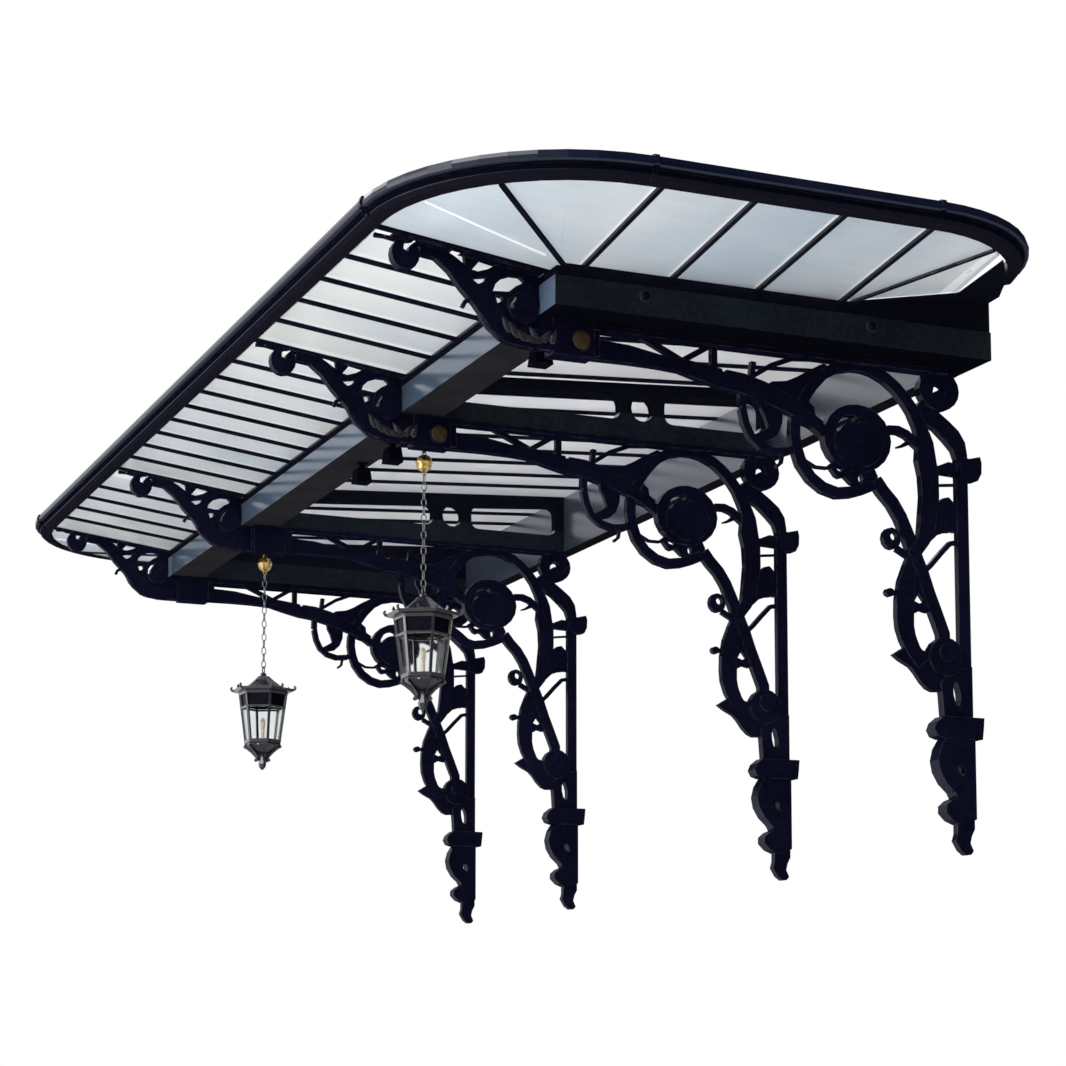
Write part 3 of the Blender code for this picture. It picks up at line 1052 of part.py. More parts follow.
def build():
    clear_scene()
    raised = (0, 0, UNDERSIDE)
    casting = console_mesh()
    end_scroll = front_scroll_mesh(CORNER_BAR_SHIFT, False)
    middle_scroll = front_scroll_mesh(THIRD_BAR_SHIFT, True)
    for number, x in enumerate(CONSOLES, 1):
        new_object(f"console_{number}", casting.copy(), IRON, location=(x, 0, UNDERSIDE))
        scroll = middle_scroll if number in (2, 3) else end_scroll
        turned_over = mirrored(scroll, "front_scroll_left") if x < 0 else scroll.copy()
        new_object(f"front_scroll_{number}", turned_over, IRON, location=(x, 0, UNDERSIDE))
    new_object("front_beam", front_beam(), IRON, 0.2, location=raised)
    right = side_beam()
    new_object("side_beam_right", right, IRON, 0.2, location=raised)
    new_object("side_beam_left", mirrored(right, "side_beam_left"), IRON, 0.2, location=raised)
    new_object("wall_beam", wall_beam(), IRON, 0.2, location=raised)
    girder = girder_mesh()
    for side, x in (("left", CONSOLES[1]), ("right", CONSOLES[2])):
        new_object("cross_girder_" + side, girder.copy(), IRON, location=(x, 0, UNDERSIDE))
    for name, mesh in rim_pieces():
        new_object(name, mesh, RIM_IRON, 0.3, location=raised)
    strap = strap_mesh()
    for name, x, y, turn in straps():
        item = new_object(name, strap.copy(), RIM_IRON, 0.4, location=(x, y, UNDERSIDE + RIM_BASE))
        item.rotation_euler = (0, 0, math.radians(turn))
    new_object("front_apron_bars", front_apron_bars(), IRON, location=raised)
    bars = side_apron_bars()
    new_object("side_apron_bars_right", bars, IRON, location=raised)
    new_object("side_apron_bars_left", mirrored(bars, "side_apron_bars_left"), IRON, location=raised)
    new_object("roof_bars", roof_bars(), IRON, location=raised)
    for name, mesh in build_glass():
        new_object(name, mesh, PANE, 0.1, location=raised)
    plate_mesh = closing_plate()
    new_object("closing_plate_right", plate_mesh, IRON, location=raised)
    new_object("closing_plate_left", mirrored(plate_mesh, "closing_plate_left"), IRON, location=raised)
    spot = spotlight_mesh()
    near, far = [MIDDLE_BAY / 2 - step for step in SPOT_FROM_MIDDLE]
    spots = (CONSOLES[3] - SPOT_FROM_END, near, far, CONSOLES[0] - SPOT_BEYOND_END)
    spot_y = -FRONT_REACH + SPOT_INSET
    for number, x in enumerate(spots, 1):
        new_object(f"spotlight_{number}", spot.copy(), IRON, 0.5, location=(x, spot_y, UNDERSIDE))
    for number, x in ((1, CONSOLES[1]), (2, CONSOLES[2])):
        build_lantern(number, x)


build()
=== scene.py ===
"""Looks of the wrought iron glass canopy: castings, glass, lanterns and finishes round the CAD frame."""
import json
import math

import bmesh
import bpy
from mathutils import Matrix, Vector
from mathutils.bvhtree import BVHTree


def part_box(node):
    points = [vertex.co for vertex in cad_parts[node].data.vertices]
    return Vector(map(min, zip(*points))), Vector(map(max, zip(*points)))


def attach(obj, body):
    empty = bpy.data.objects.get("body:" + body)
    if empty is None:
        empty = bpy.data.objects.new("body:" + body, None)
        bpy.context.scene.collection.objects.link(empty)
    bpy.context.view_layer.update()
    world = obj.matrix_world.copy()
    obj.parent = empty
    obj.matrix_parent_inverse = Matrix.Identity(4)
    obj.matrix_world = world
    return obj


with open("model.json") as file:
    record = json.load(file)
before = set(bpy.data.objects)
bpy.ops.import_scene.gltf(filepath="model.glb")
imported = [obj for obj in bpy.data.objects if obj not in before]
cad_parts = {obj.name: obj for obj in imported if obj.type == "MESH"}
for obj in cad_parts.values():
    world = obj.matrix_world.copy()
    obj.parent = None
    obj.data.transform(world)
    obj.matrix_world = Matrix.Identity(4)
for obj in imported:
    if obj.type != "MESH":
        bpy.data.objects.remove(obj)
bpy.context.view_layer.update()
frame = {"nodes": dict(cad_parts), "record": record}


def middle_of(node):
    """Where the middle of a node lies along the wall."""
    low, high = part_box(node)
    return (low[0] + high[0]) / 2


# Plan of the canopy, read from the frame
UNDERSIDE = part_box("wall_beam")[0][2]                       # of all the beams
FRONT_REACH = -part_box("front_beam")[0][1]                   # wall to the front beam's face
SIDE_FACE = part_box("side_beam_right")[1][0]                 # outer face of a side beam
RIM_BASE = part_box("front_rim")[0][2] - UNDERSIDE
BODY_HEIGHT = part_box("lantern_cage_1")[1][2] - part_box("lantern_cage_1")[0][2]
CONSOLES = [middle_of(f"console_{number}") for number in (1, 2, 3, 4)]

# Sizes of the part's source that boxes don't give
BEAM_FACE = 0.128            # height of the plain face below a beam's sill, a band of painted shade
BAR_WIDTH = 0.022
LEFT_BARS = (CONSOLES[1] - 0.530, 0.305)                    # first bar's place and pitch
MIDDLE_BARS = (CONSOLES[1] - 0.035, 0.300)
RIGHT_BARS = (CONSOLES[2] + 0.400, 0.332)
SIDE_BARS = (0.139 - FRONT_REACH, 0.4107)
SIDE_BARS_END = 0.084 - FRONT_REACH                         # the corner pane starts here
NO_END = -9.0
BODY_TOP_RADIUS = 0.138      # of a lantern's six-sided body, to its corners
BODY_BOTTOM_RADIUS = 0.098

PANE_EDGE = (0.97, 0.98, 1.0)   # colour of the light along a pane's edge

# Small trim, placed after the photo
FRIEZE = (0.010, 0.083)      # where it starts and ends, below the body's top
FRIEZE_INSET = (0.0025, 0.0050)
BOLTS_ALONG = (-1.72, -0.62)
BOLT_HEIGHT = 0.084
CAP_OUT = 0.075              # console's middle to the bronze cap's foot
CAP_ALONG = -1.945
CAP_DROP = 0.090
SCROLL_FACE = 0.0642         # console's middle to the leaves' foot
LEAF_POINTS = 10
LEAF_TAPER = 0.45
LEAF_CROWN = 0.45
LEAF_DEPTH = 0.006
# distance from the wall, height over the underside, turn in degrees, length and width
LEAVES = [(-2.285, -0.058, 118, 0.080, 0.030), (-2.250, -0.078, 132, 0.084, 0.034),
          (-2.215, -0.096, 148, 0.080, 0.034), (-2.172, -0.108, 166, 0.076, 0.032),
          (-2.130, -0.108, 15, 0.070, 0.030), (-2.100, -0.088, 58, 0.074, 0.030),
          (-2.068, -0.088, 72, 0.070, 0.028), (-2.160, -0.084, 128, 0.066, 0.026)]
# the joint in a corner pane, from the beams' corner outwards along the wall and away from it
JOINT_NEAR = (0.002, 0.044)
JOINT_MIDDLE = (0.099, 0.346)
JOINT_FAR = (0.204, 0.652)
JOINT_HALF = 0.007
JOINT_DEPTH = (0.0028, 0.0004)

# Camera of the photo
LENS = 83.17586
SENSOR = 36
CAMERA_PLACE = (12.408, -6.05694, -3.27858)
CAMERA_UP = 6.71436
CAMERA_YAW = 66.7995
CAMERA_SHIFT = (-0.01759, 0.22)
CAMERA_REACH = 200

# Stage
FLOOR = -4.90
FLOOR_HALF = 60.0
FLOOR_GLOW = 0.7
SKY_LIGHT_LEVEL = 0.55
LAMPS = [("key_light", (5.0, -9.0, 5.0), (0.0, -1.5, -0.5), 7.0, 900.0),
         ("sky_light", (-4.0, -2.0, 8.0), (0.0, -1.5, 0.0), 9.0, 700.0),
         ("street_light", (1.0, -10.0, -2.0), (0.0, -1.0, -0.8), 8.0, 350.0)]


def set_camera():
    data = bpy.data.cameras.new("camera")
    data.lens = LENS
    data.sensor_width = SENSOR
    data.shift_x, data.shift_y = CAMERA_SHIFT
    data.clip_end = CAMERA_REACH
    camera = bpy.data.objects.new("camera", data)
    camera.location = CAMERA_PLACE
    camera.rotation_euler = (math.radians(90 + CAMERA_UP), 0, math.radians(CAMERA_YAW))
    bpy.context.scene.collection.objects.link(camera)
    bpy.context.scene.camera = camera


class Nodes:
    """A material's node tree with short ways to add and join nodes."""

    def __init__(self, name):
        self.material = bpy.data.materials.new(name)
        self.material.use_nodes = True
        self.tree = self.material.node_tree
        self.shader = self.tree.nodes["Principled BSDF"]
        self.place = self.add("ShaderNodeTexCoord").outputs["Object"]

    def add(self, kind, **settings):
        node = self.tree.nodes.new(kind)
        for key, value in settings.items():
            setattr(node, key, value)
        return node

    def join(self, source, target):
        self.tree.links.new(source, target)

    def feed(self, value, socket):
        """Join a socket's output to another socket, or set a plain value or colour there."""
        if hasattr(value, "links"):
            self.join(value, socket)
        elif isinstance(value, tuple):
            socket.default_value = (*value, 1)
        else:
            socket.default_value = value

    def noise(self, scale, detail=3.0, stretch=None):
        node = self.add("ShaderNodeTexNoise")
        node.inputs["Scale"].default_value = scale
        node.inputs["Detail"].default_value = detail
        node.inputs["Roughness"].default_value = 0.55
        source = self.place
        if stretch:
            mapping = self.add("ShaderNodeMapping")
            mapping.inputs["Scale"].default_value = stretch
            self.join(self.place, mapping.inputs["Vector"])
            source = mapping.outputs["Vector"]
        self.join(source, node.inputs["Vector"])
        return node.outputs["Fac"]

    def ramp(self, source, low, dark, high, light):
        """A colour between dark and light, as the source goes from low to high."""
        node = self.add("ShaderNodeValToRGB")
        for element, at, colour in zip(node.color_ramp.elements, (low, high), (dark, light)):
            element.position = at
            element.color = (*colour, 1)
        self.join(source, node.inputs["Fac"])
        return node.outputs["Color"]

    def map(self, source, low, high, to_low, to_high):
        node = self.add("ShaderNodeMapRange")
        for key, value in (("From Min", low), ("From Max", high), ("To Min", to_low), ("To Max", to_high)):
            node.inputs[key].default_value = value
        self.join(source, node.inputs["Value"])
        return node.outputs["Result"]

    def mix(self, factor, first, second):
        node = self.add("ShaderNodeMix", data_type="RGBA")
        for value, index in ((factor, 0), (first, 6), (second, 7)):
            self.feed(value, node.inputs[index])
        return node.outputs[2]

    def math(self, operation, first, second):
        node = self.add("ShaderNodeMath", operation=operation, use_clamp=True)
        self.feed(first, node.inputs[0])
        self.feed(second, node.inputs[1])
        return node.outputs["Value"]

    def dot(self, first, second):
        node = self.add("ShaderNodeVectorMath", operation="DOT_PRODUCT")
        self.join(first, node.inputs[0])
        if hasattr(second, "links"):
            self.join(second, node.inputs[1])
        else:
            node.inputs[1].default_value = second
        return node.outputs["Value"]

    def rounded(self, radius):
        """The normal as if edges were rounded off."""
        bevel = self.add("ShaderNodeBevel", samples=4)
        bevel.inputs["Radius"].default_value = radius
        return bevel.outputs["Normal"]

    def edges(self, radius):
        """One where a face turns sharply within the radius, zero on flat faces."""
        geometry = self.add("ShaderNodeNewGeometry")
        return self.map(self.dot(self.rounded(radius), geometry.outputs["Normal"]), 0.99, 0.80, 0.0, 1.0)

    def facing(self, axis, low, high):
        """How far the true normal points along an axis of the object, from 0 to 1."""
        geometry = self.add("ShaderNodeNewGeometry")
        return self.map(self.dot(geometry.outputs["Normal"], axis), low, high, 0.0, 1.0)

    def split(self):
        """The place's x, y and z."""
        node = self.add("ShaderNodeSeparateXYZ")
        self.join(self.place, node.inputs["Vector"])
        return node.outputs

    def strip(self, low, high):
        """One between two heights above the beams' underside, zero outside."""
        height = self.split()["Z"]
        soft = 0.001
        low += UNDERSIDE
        high += UNDERSIDE
        rising = self.map(height, low - soft, low + soft, 0.0, 1.0)
        falling = self.map(height, high - soft, high + soft, 1.0, 0.0)
        return self.math("MULTIPLY", rising, falling)

    def near_bars(self, axis, bars, end, width):
        """One beside bars with a first place and a pitch along the axis, past an end; zero between them."""
        start, pitch = bars
        soft = 0.002
        along = self.split()[axis]
        away = self.add("ShaderNodeMath", operation="SUBTRACT")
        self.feed(along, away.inputs[0])
        self.feed(start, away.inputs[1])
        fold = self.add("ShaderNodeMath", operation="PINGPONG")
        self.feed(away.outputs["Value"], fold.inputs[0])
        self.feed(pitch / 2, fold.inputs[1])
        close = self.map(fold.outputs["Value"], width - soft, width + soft, 1.0, 0.0)
        return self.math("MULTIPLY", close, self.math("GREATER_THAN", along, end))

    def relief(self, height, strength, distance, radius=0.0):
        bump = self.add("ShaderNodeBump")
        bump.inputs["Strength"].default_value = strength
        bump.inputs["Distance"].default_value = distance
        self.join(height, bump.inputs["Height"])
        if radius:
            self.join(self.rounded(radius), bump.inputs["Normal"])
        self.join(bump.outputs["Normal"], self.shader.inputs["Normal"])

    def colour(self, source):
        self.join(source, self.shader.inputs["Base Color"])

    def rough(self, source, low, high):
        """Roughness from low to high, as the source goes through its middle range."""
        self.join(self.map(source, 0.3, 0.7, low, high), self.shader.inputs["Roughness"])

    def set(self, **values):
        for key, value in values.items():
            self.shader.inputs[key.replace("_", " ")].default_value = value


def darkened(colour, share):
    return tuple(value * share for value in colour)


def black_paint(name, dark, light, worn_and_highlight_colour, gloss=(0.26, 0.42), bevel=0.003, street=0.5, worn_and_highlight_share=0.5, grain=240.0,
                coat=1.6, haze=0.08, shine=0.0, under=None, front=None, strips=()):
    """Black gloss paint on iron: mottled tone, paler edges that are partly rubbed paint and partly painted
    highlight, and a glossier coat on the rain-washed street side.

    The underside may have its own colour, a mottled painted shade, and the street side its own, a
    painted reflection of the sky; strips are (low, high, colour) bands by height above the beams'
    underside, which carry painted shade and a painted highlight on the sills and the rim.
    """
    m = Nodes(name)
    base = m.ramp(m.mix(0.45, m.noise(2.2, 5.0), m.noise(38.0, 4.0)), 0.36, dark, 0.62, light)
    # painted shade: faces turned down get a darker colour of their own, mottled by noise
    if under:
        mottled_under_shade = m.mix(m.map(m.noise(5.0, 4.0), 0.35, 0.65, 0.0, 0.45), under, darkened(under, 0.55))
        base = m.mix(m.facing((0, 0, -1), 0.6, 0.95), base, mottled_under_shade)
    # painted reflection: faces turned to the street get a lighter blue-grey for the sky they mirror
    if front:
        base = m.mix(m.facing((0, -1, 0), 0.6, 0.95), base, front)
    shade = m.facing((0, -1, 0), 0.25, 0.9)
    for low, high, colour in strips:
        inside = m.strip(low, high)
        base = m.mix(inside, base, colour)
        shade = m.math("MULTIPLY", shade, m.math("SUBTRACT", 1.0, inside))
    # paler edges: partly rubbed paint, partly a painted highlight along the edges
    worn_and_highlight_edges = m.math("MULTIPLY", m.edges(bevel * 1.6), m.map(m.noise(16.0, 4.0), 0.42, 0.62, 0.0, worn_and_highlight_share))
    m.colour(m.mix(worn_and_highlight_edges, base, worn_and_highlight_colour))
    m.rough(m.noise(9.0, 5.0), *gloss)
    m.join(m.math("MULTIPLY", shade, street), m.shader.inputs["Coat Weight"])
    m.relief(m.noise(grain, 3.0), 0.25, 0.0006, bevel)
    m.set(Specular_IOR_Level=shine, Coat_IOR=coat, Coat_Roughness=haze, Coat_Tint=(0.80, 0.89, 1.0, 1.0))
    return m.material


def pane_glass(name, cool, warm, clear, rough, bars=None, thick=1.35):
    """Frosted, weathered glass with soft clouds and faint runs of dirt down its slope.

    Bars are an axis, a first place with a pitch, an end and a reach: the panes' edges catch light
    within that reach of the bars' sides. Thin lines showed in the panes where the roughness went
    below about 0.28, so that of the frosted ones stays above it.
    """
    m = Nodes(name)
    runs = m.noise(7.0, 4.0, (3.0, 0.35, 1.0))
    base = m.ramp(m.mix(0.25, m.noise(0.9, 3.0), runs), 0.38, cool, 0.62, warm)
    base = m.mix(m.map(m.noise(1.7, 2.0), 0.40, 0.75, 0.0, 0.20), base, darkened(cool, 0.84))
    if bars:
        axis, places, end, reach = bars
        base = m.mix(m.near_bars(axis, places, end, BAR_WIDTH / 2 + reach), base, PANE_EDGE)
    m.colour(base)
    m.rough(m.noise(2.4, 3.0), rough - 0.05, rough + 0.05)
    m.set(Transmission_Weight=clear, IOR=thick)
    return m.material


def front_glass(name, places):
    return pane_glass(name, (0.66, 0.71, 0.76), (0.78, 0.80, 0.78), 0.80, 0.35, ("X", places, NO_END, 0.032))


def brass():
    m = Nodes("ball_brass")
    m.colour(m.ramp(m.noise(60.0, 5.0), 0.35, (0.16, 0.10, 0.035), 0.62, (0.58, 0.42, 0.15)))
    m.rough(m.noise(90.0, 3.0), 0.22, 0.42)
    m.relief(m.noise(300.0, 3.0), 0.3, 0.0004, 0.002)
    m.set(Metallic=1.0)
    return m.material


def putty():
    """Pale putty along a joint of two panes, made near white with a faint painted glow in place of the
    daylight it catches.
    """
    m = Nodes("joint_putty_glow")
    m.colour(m.ramp(m.noise(30.0, 3.0), 0.3, (0.90, 0.92, 0.94), 0.7, (0.98, 0.99, 1.0)))
    m.rough(m.noise(60.0, 3.0), 0.5, 0.7)
    m.relief(m.noise(300.0, 3.0), 0.2, 0.0003)
    # painted glow: a faint emission in place of the daylight along the joint
    m.set(Emission_Color=(0.85, 0.92, 1.0, 1.0), Emission_Strength=0.25)
    return m.material


def wax():
    m = Nodes("candle_wax")
    m.colour(m.ramp(m.noise(40.0, 4.0), 0.35, (0.62, 0.55, 0.42), 0.65, (0.82, 0.77, 0.63)))
    m.rough(m.noise(60.0, 3.0), 0.35, 0.55)
    m.relief(m.noise(120.0, 3.0, (1.0, 1.0, 0.25)), 0.3, 0.0008)
    m.set(Subsurface_Weight=0.15)
    return m.material


# Paints
# painted shade: a dark band on each beam from the top of its plain face up
SILL_SHADE = [(BEAM_FACE + 0.001, 1.0, (0.0050, 0.0056, 0.0110))]
# bands of the rim by height: its lower flat in a dark tone, a band of painted shade and a thin painted
# highlight
RIM_SHADE_AND_HIGHLIGHT_BANDS = [(RIM_BASE - 0.01, RIM_BASE + 0.024, (0.0085, 0.0082, 0.0140)),
              (RIM_BASE + 0.026, RIM_BASE + 0.053, (0.0026, 0.0030, 0.0070)),
              (RIM_BASE + 0.0545, RIM_BASE + 0.059, (0.034, 0.042, 0.060))]
BEAM_COAT = {"gloss": (0.10, 0.20), "street": 1.0, "worn_and_highlight_share": 0.4, "grain": 60.0, "coat": 3.0}
IRON = black_paint("iron_paint", (0.0030, 0.0032, 0.0105), (0.0062, 0.0066, 0.0200), (0.085, 0.088, 0.105),
                   street=0.3, worn_and_highlight_share=0.9)
# side beams: painted shade underneath, a painted reflection on the street face and a painted-shade band over
# the sill
BEAM = black_paint("beam_paint", (0.0062, 0.0092, 0.0145), (0.0140, 0.0190, 0.0245), (0.050, 0.058, 0.070),
                   haze=0.22, under=(0.0030, 0.0032, 0.0065), front=(0.17, 0.21, 0.28), strips=SILL_SHADE,
                   **BEAM_COAT)
# a lighter copy of the beam paint as a painted reflection of the sky, with painted shade underneath and over
# the sill
FRONT_BEAM = black_paint("front_beam_paint_lit", (0.030, 0.038, 0.052), (0.046, 0.056, 0.075), (0.10, 0.12, 0.15),
                         haze=0.16, under=(0.020, 0.0195, 0.022), front=(0.085, 0.108, 0.145), strips=SILL_SHADE,
                         **BEAM_COAT)
# a lighter copy of the beam paint on all faces, a painted reflection of the sky, with painted shade
# underneath
WALL_BEAM = black_paint("wall_beam_paint_lit", (0.036, 0.042, 0.056), (0.060, 0.068, 0.085), (0.10, 0.12, 0.15),
                        haze=0.22, under=(0.0070, 0.0070, 0.0100), **BEAM_COAT)
RIM = black_paint("rim_paint", (0.0036, 0.0060, 0.0190), (0.0085, 0.0105, 0.0270), (0.060, 0.066, 0.090),
                  gloss=(0.12, 0.24), bevel=0.004, street=0.6, grain=90.0, coat=1.8, haze=0.12,
                  strips=RIM_SHADE_AND_HIGHLIGHT_BANDS)
BAR = black_paint("bar_paint", (0.0040, 0.0042, 0.0100), (0.0090, 0.0095, 0.0180), (0.060, 0.062, 0.075))
LAMP = black_paint("lamp_paint", (0.0020, 0.0020, 0.0060), (0.0050, 0.0052, 0.0110), (0.05, 0.05, 0.06),
                   gloss=(0.35, 0.5), bevel=0.004, street=0.2)
LANTERN = black_paint("lantern_paint", (0.0036, 0.0042, 0.0095), (0.0095, 0.0100, 0.0150),
                      (0.11, 0.11, 0.125), gloss=(0.16, 0.30), street=0.8, worn_and_highlight_share=0.6, coat=2.2, haze=0.15,
                      shine=0.22)
# on the cast leaves and washers the pale edges are mostly painted highlights
RELIEF = black_paint("relief_paint", (0.0060, 0.0064, 0.0120), (0.030, 0.030, 0.036), (0.11, 0.11, 0.125),
                     worn_and_highlight_share=1.0, coat=2.2, haze=0.15)
BRONZE = black_paint("cap_bronze", (0.030, 0.020, 0.012), (0.060, 0.042, 0.024), (0.12, 0.09, 0.05),
                     gloss=(0.3, 0.5), bevel=0.002, street=0.2, worn_and_highlight_share=0.6, grain=300.0)

# Glass
SIDE_GLASS = pane_glass("side_glass", (0.54, 0.62, 0.70), (0.72, 0.76, 0.78), 0.80, 0.35,
                        ("Y", SIDE_BARS, SIDE_BARS_END, 0.013))
ROOF_GLASS = pane_glass("roof_glass", (0.84, 0.86, 0.90), (0.92, 0.92, 0.93), 0.85, 0.35)
LANTERN_GLASS = pane_glass("lantern_glass", (0.86, 0.88, 0.89), (0.92, 0.93, 0.92), 1.0, 0.06, thick=1.12)

SLOT_FINISHES = {"console_iron": IRON, "beam_paint": BEAM, "rim_paint": RIM, "bar_paint": BAR,
                 "lamp_black": LAMP, "lantern_iron": LANTERN, "ball_brass": brass(), "candle_wax": wax(),
                 "pane_glass": SIDE_GLASS}
NODE_FINISHES = {"front_beam": FRONT_BEAM, "wall_beam": WALL_BEAM,
                 "front_glass_left": front_glass("front_glass_left", LEFT_BARS),
                 "front_glass_middle": front_glass("front_glass_middle", MIDDLE_BARS),
                 "front_glass_right": front_glass("front_glass_right", RIGHT_BARS),
                 "roof_glass_left": ROOF_GLASS, "roof_glass_middle": ROOF_GLASS,
                 "roof_glass_right": ROOF_GLASS,
                 "lantern_glass_1": LANTERN_GLASS, "lantern_glass_2": LANTERN_GLASS}


def dress_nodes():
    """Give every CAD node its finish."""
    for part in frame["record"]["subparts"]:
        item = frame["nodes"][part["node"]]
        item.data.materials.clear()
        item.data.materials.append(NODE_FINISHES.get(part["node"], SLOT_FINISHES[part["material_slot"]]))


def finished(body, name):
    """A mesh from the drawn body, with its faces turned outwards."""
    bmesh.ops.recalc_face_normals(body, faces=body.faces)
    mesh = bpy.data.meshes.new(name)
    body.to_mesh(mesh)
    body.free()
    return mesh


def join_rings(body, rings, closed=False):
    """Faces between neighbouring rings of the same number of points."""
    for here, there in zip(rings, rings[1:] + rings[:1] if closed else rings[1:]):
        for index in range(len(here)):
            after = (index + 1) % len(here)
            body.faces.new((here[index], here[after], there[after], there[index]))


def turned(profile, sides):
    """A mesh turned about x from (distance along x, radius) pairs, closed at both ends."""
    body = bmesh.new()
    rings = []
    for along, radius in profile:
        angles = [2 * math.pi * side / sides for side in range(sides)]
        rings.append([body.verts.new((along, radius * math.cos(angle), radius * math.sin(angle)))
                      for angle in angles])
    join_rings(body, rings)
    body.faces.new(rings[0][::-1])
    body.faces.new(rings[-1])
    for face in body.faces:
        face.smooth = len(face.verts) == 4
    return finished(body, "turned")


def link_piece(name, mesh, finish, place):
    """An object of the mesh, put in the scene."""
    item = bpy.data.objects.new(name, mesh)
    item.location = place
    bpy.context.scene.collection.objects.link(item)
    mesh.materials.append(finish)
    return item


def add_piece(name, mesh, finish, place=(0, 0, 0), flip=False):
    """An object on the canopy; a flipped one faces the other end of the wall."""
    item = link_piece(name, mesh, finish, place)
    if flip:
        item.rotation_euler = (0, 0, math.pi)
    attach(item, "canopy")


def build_fasteners():
    """Bolts with washers on the side beams and the bronze caps on the front scrolls' splices."""
    washer = [(0.0, 0.028), (0.003, 0.028), (0.006, 0.023), (0.003, 0.019)]
    head = [(0.004, 0.019), (0.008, 0.018), (0.013, 0.012), (0.016, 0.006)]
    cap = [(-0.002, 0.040), (0.003, 0.040), (0.006, 0.034), (0.007, 0.010)]
    for side, sign in (("right", 1), ("left", -1)):
        for number, along in enumerate(BOLTS_ALONG, 1):
            place = (sign * SIDE_FACE, along, UNDERSIDE + BOLT_HEIGHT)
            add_piece(f"beam_washer_{side}_{number}", turned(washer, 24), RELIEF, place, sign < 0)
            add_piece(f"beam_bolt_{side}_{number}", turned(head, 16), LAMP, place, sign < 0)
    for number, x in enumerate(CONSOLES, 1):
        sign = -1 if x < 0 else 1
        place = (x + sign * CAP_OUT, CAP_ALONG, UNDERSIDE - CAP_DROP)
        add_piece(f"splice_cap_{number}", turned(cap, 24), BRONZE, place, sign < 0)


def leaf_spray():
    """Cast leaves on the lower end of a front scroll, with x away from the casting."""
    body = bmesh.new()
    for along, height, turn, length, width in LEAVES:
        ahead = Vector((0, math.cos(math.radians(turn)), math.sin(math.radians(turn))))
        across = Vector((0, -ahead.z, ahead.y))
        foot = Vector((0, along, height))
        outline = []
        for step in range(LEAF_POINTS):
            angle = 2 * math.pi * step / LEAF_POINTS
            reach = length / 2 * math.cos(angle)
            half = width / 2 * math.sin(angle) * (1.0 - LEAF_TAPER * math.cos(angle))
            outline.append(foot + ahead * reach + across * half)
        rim = [body.verts.new(point) for point in outline]
        crown = [body.verts.new(foot + (point - foot) * LEAF_CROWN + Vector((LEAF_DEPTH, 0, 0)))
                 for point in outline]
        body.faces.new(rim[::-1])
        body.faces.new(crown)
        join_rings(body, [rim, crown])
    return finished(body, "leaf_spray")


def build_scroll_leaves():
    """Leaves on the outer sides of the front scrolls."""
    for number, x in enumerate(CONSOLES, 1):
        sign = -1 if x < 0 else 1
        mesh = leaf_spray()
        if sign < 0:
            mesh.transform(Matrix.Scale(-1, 4, (1, 0, 0)))
            mesh.flip_normals()
        add_piece(f"scroll_leaves_{number}", mesh, RELIEF, (x + sign * SCROLL_FACE, 0, UNDERSIDE))


def build_pane_joints():
    """The pale joint line under each corner pane, from the beams' corner to the rim."""
    filler = putty()
    for side, sign in (("right", 1), ("left", -1)):
        pane = frame["nodes"][f"side_glass_{side}"].data
        surface = BVHTree.FromPolygons([vertex.co for vertex in pane.vertices],
                                       [tuple(face.vertices) for face in pane.polygons])
        body = bmesh.new()
        rows = []
        for along, away in (JOINT_FAR, JOINT_MIDDLE, JOINT_NEAR):
            x, y = sign * (SIDE_FACE + along), -FRONT_REACH - away
            hit = surface.ray_cast(Vector((x, y, UNDERSIDE)), Vector((0, 0, 1)))[0]
            low, high = hit.z - JOINT_DEPTH[0], hit.z - JOINT_DEPTH[1]
            left, right = x - sign * JOINT_HALF, x + sign * JOINT_HALF
            rows.append([body.verts.new(point) for point in
                         ((left, y, low), (right, y, low), (right, y, high), (left, y, high))])
        body.faces.new(rows[0])
        body.faces.new(rows[-1][::-1])
        join_rings(body, rows)
        add_piece(f"pane_joint_{side}", finished(body, "pane_joint"), filler)


def radial_plates(body, outline, thickness, phase):
    """Six upright leaves round the z axis, each drawn as (distance from the axis, height) points."""
    for number in range(6):
        angle = phase + math.pi * number / 3
        out = Vector((math.cos(angle), math.sin(angle), 0))
        across = Vector((-math.sin(angle), math.cos(angle), 0)) * thickness / 2
        rows = [[body.verts.new(out * radius + across * side + Vector((0, 0, height)))
                 for radius, height in outline] for side in (-1, 1)]
        body.faces.new(rows[0][::-1])
        body.faces.new(rows[1])
        join_rings(body, rows)


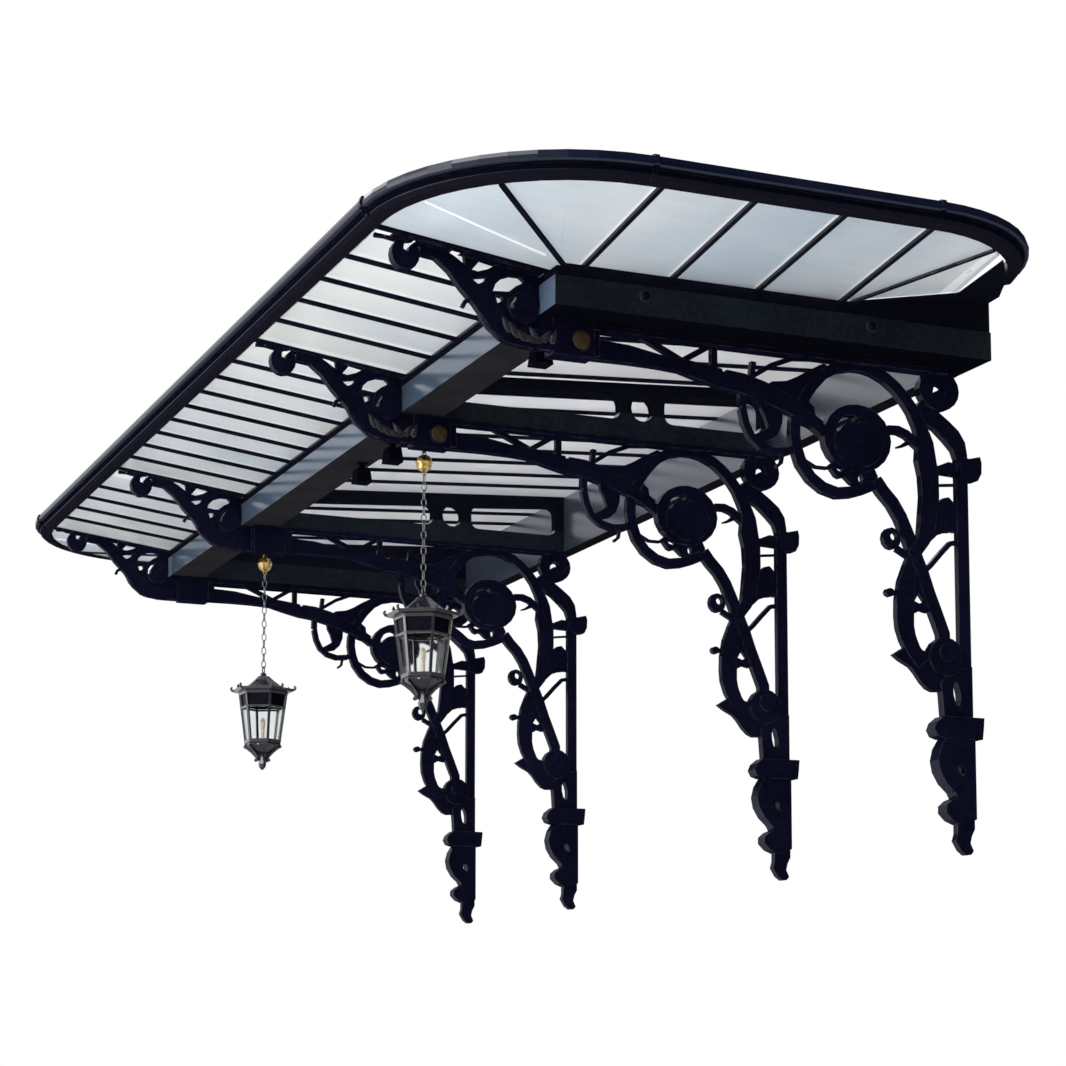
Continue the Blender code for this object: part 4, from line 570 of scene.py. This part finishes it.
def lantern_trim():
    """Corner leaves over the eaves, scrolled ribs and drops below the body; z = 0 is the body's top."""
    leaf = [(0.150, 0.006), (0.176, 0.004), (0.192, 0.010), (0.199, 0.026), (0.190, 0.038), (0.181, 0.034),
            (0.186, 0.026), (0.180, 0.020), (0.166, 0.020)]
    small_leaf = [(0.134, 0.016), (0.152, 0.014), (0.160, 0.030), (0.152, 0.044), (0.146, 0.032)]
    # below the body, with heights from its foot
    rib = [(0.092, -0.006), (0.112, -0.012), (0.114, -0.024), (0.094, -0.034), (0.064, -0.058),
           (0.040, -0.084), (0.050, -0.098), (0.040, -0.108), (0.024, -0.100), (0.018, -0.080),
           (0.045, -0.050), (0.080, -0.026)]
    bead = [(0.100, -0.004), (0.108, -0.010), (0.110, -0.018), (0.104, -0.022), (0.096, -0.016)]
    body = bmesh.new()
    for outline, drop, thickness, phase in ((leaf, 0.0, 0.007, 0.0), (small_leaf, 0.0, 0.010, math.pi / 6),
                                            (rib, BODY_HEIGHT, 0.006, 0.0),
                                            (bead, BODY_HEIGHT, 0.012, math.pi / 6)):
        radial_plates(body, [(radius, height - drop) for radius, height in outline], thickness, phase)
    return finished(body, "lantern_trim")


def body_radius(depth):
    """Outer radius of a lantern's body, so far below its top."""
    return BODY_TOP_RADIUS + (BODY_BOTTOM_RADIUS - BODY_TOP_RADIUS) * depth / BODY_HEIGHT


def lantern_frieze():
    """The dark panel band in the upper part of the body, over the glass."""
    body = bmesh.new()
    high, low = FRIEZE
    outer, inner = FRIEZE_INSET
    profile = [(body_radius(high) - outer, -high), (body_radius(low) - outer, -low),
               (body_radius(low) - inner, -low), (body_radius(high) - inner, -high)]
    rings = []
    for corner in range(6):
        angle = math.pi * corner / 3
        rings.append([body.verts.new((radius * math.cos(angle), radius * math.sin(angle), height))
                      for radius, height in profile])
    join_rings(body, rings, closed=True)
    return finished(body, "lantern_frieze")


def build_lantern_trim():
    """Leaves, ribs and frieze of each lantern, which swing with its body."""
    for number in (1, 2):
        low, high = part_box(f"lantern_cage_{number}")
        place = ((low[0] + high[0]) / 2, (low[1] + high[1]) / 2, high[2])
        for name, mesh, finish in (("lantern_trim", lantern_trim(), LANTERN),
                                   ("lantern_frieze", lantern_frieze(), LAMP)):
            item = link_piece(f"{name}_{number}", mesh, finish, place)
            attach(item, f"lantern_body_{number}")


def any_ray(tree, kinds):
    """One for a ray of any of the kinds, else zero."""
    path = tree.nodes.new("ShaderNodeLightPath")
    seen = path.outputs[kinds[0]]
    for kind in kinds[1:]:
        both = tree.nodes.new("ShaderNodeMath")
        both.operation = "MAXIMUM"
        tree.links.new(seen, both.inputs[0])
        tree.links.new(path.outputs[kind], both.inputs[1])
        seen = both.outputs["Value"]
    return seen


def build_sky():
    """A white world for the camera, gloss and glass, and a softer one for the light."""
    world = bpy.data.worlds.new("sky")
    bpy.context.scene.world = world
    world.use_nodes = True
    tree = world.node_tree
    back = tree.nodes["Background"]
    level = tree.nodes.new("ShaderNodeMapRange")
    level.inputs["To Min"].default_value = SKY_LIGHT_LEVEL
    level.inputs["To Max"].default_value = 1.0
    seen = any_ray(tree, ("Is Camera Ray", "Is Glossy Ray", "Is Transmission Ray"))
    tree.links.new(seen, level.inputs["Value"])
    tree.links.new(level.outputs["Result"], back.inputs["Strength"])
    back.inputs["Color"].default_value = (1, 1, 1, 1)


def build_floor():
    """A white floor that keeps the canopy's shadow."""
    mesh = bpy.data.meshes.new("floor")
    corners = [(x * FLOOR_HALF, y * FLOOR_HALF, FLOOR) for x, y in ((-1, -1), (1, -1), (1, 1), (-1, 1))]
    mesh.from_pydata(corners, [], [(0, 1, 2, 3)])
    floor = bpy.data.objects.new("floor", mesh)
    bpy.context.scene.collection.objects.link(floor)
    material = bpy.data.materials.new("floor_white")
    material.use_nodes = True
    tree = material.node_tree
    shader = tree.nodes["Principled BSDF"]
    shader.inputs["Base Color"].default_value = (0.9, 0.9, 0.9, 1)
    shader.inputs["Roughness"].default_value = 0.9
    shader.inputs["Specular IOR Level"].default_value = 0.0
    glow = tree.nodes.new("ShaderNodeEmission")
    blend = tree.nodes.new("ShaderNodeMixShader")
    share = tree.nodes.new("ShaderNodeMath")
    share.operation = "MULTIPLY"
    share.inputs[1].default_value = FLOOR_GLOW
    tree.links.new(any_ray(tree, ("Is Camera Ray", "Is Glossy Ray")), share.inputs[0])
    tree.links.new(share.outputs["Value"], blend.inputs["Fac"])
    tree.links.new(shader.outputs["BSDF"], blend.inputs[1])
    tree.links.new(glow.outputs["Emission"], blend.inputs[2])
    tree.links.new(blend.outputs["Shader"], tree.nodes["Material Output"].inputs["Surface"])
    mesh.materials.append(material)


def build_lamps():
    for name, place, aim, size, power in LAMPS:
        light = bpy.data.lights.new(name, "AREA")
        light.size = size
        light.energy = power
        lamp = bpy.data.objects.new(name, light)
        lamp.location = place
        lamp.rotation_euler = (Vector(aim) - Vector(place)).to_track_quat("-Z", "Y").to_euler()
        bpy.context.scene.collection.objects.link(lamp)


bpy.context.scene.view_settings.view_transform = "Standard"
set_camera()
dress_nodes()
build_fasteners()
build_lantern_trim()
build_scroll_leaves()
build_pane_joints()
build_sky()
build_floor()
build_lamps()
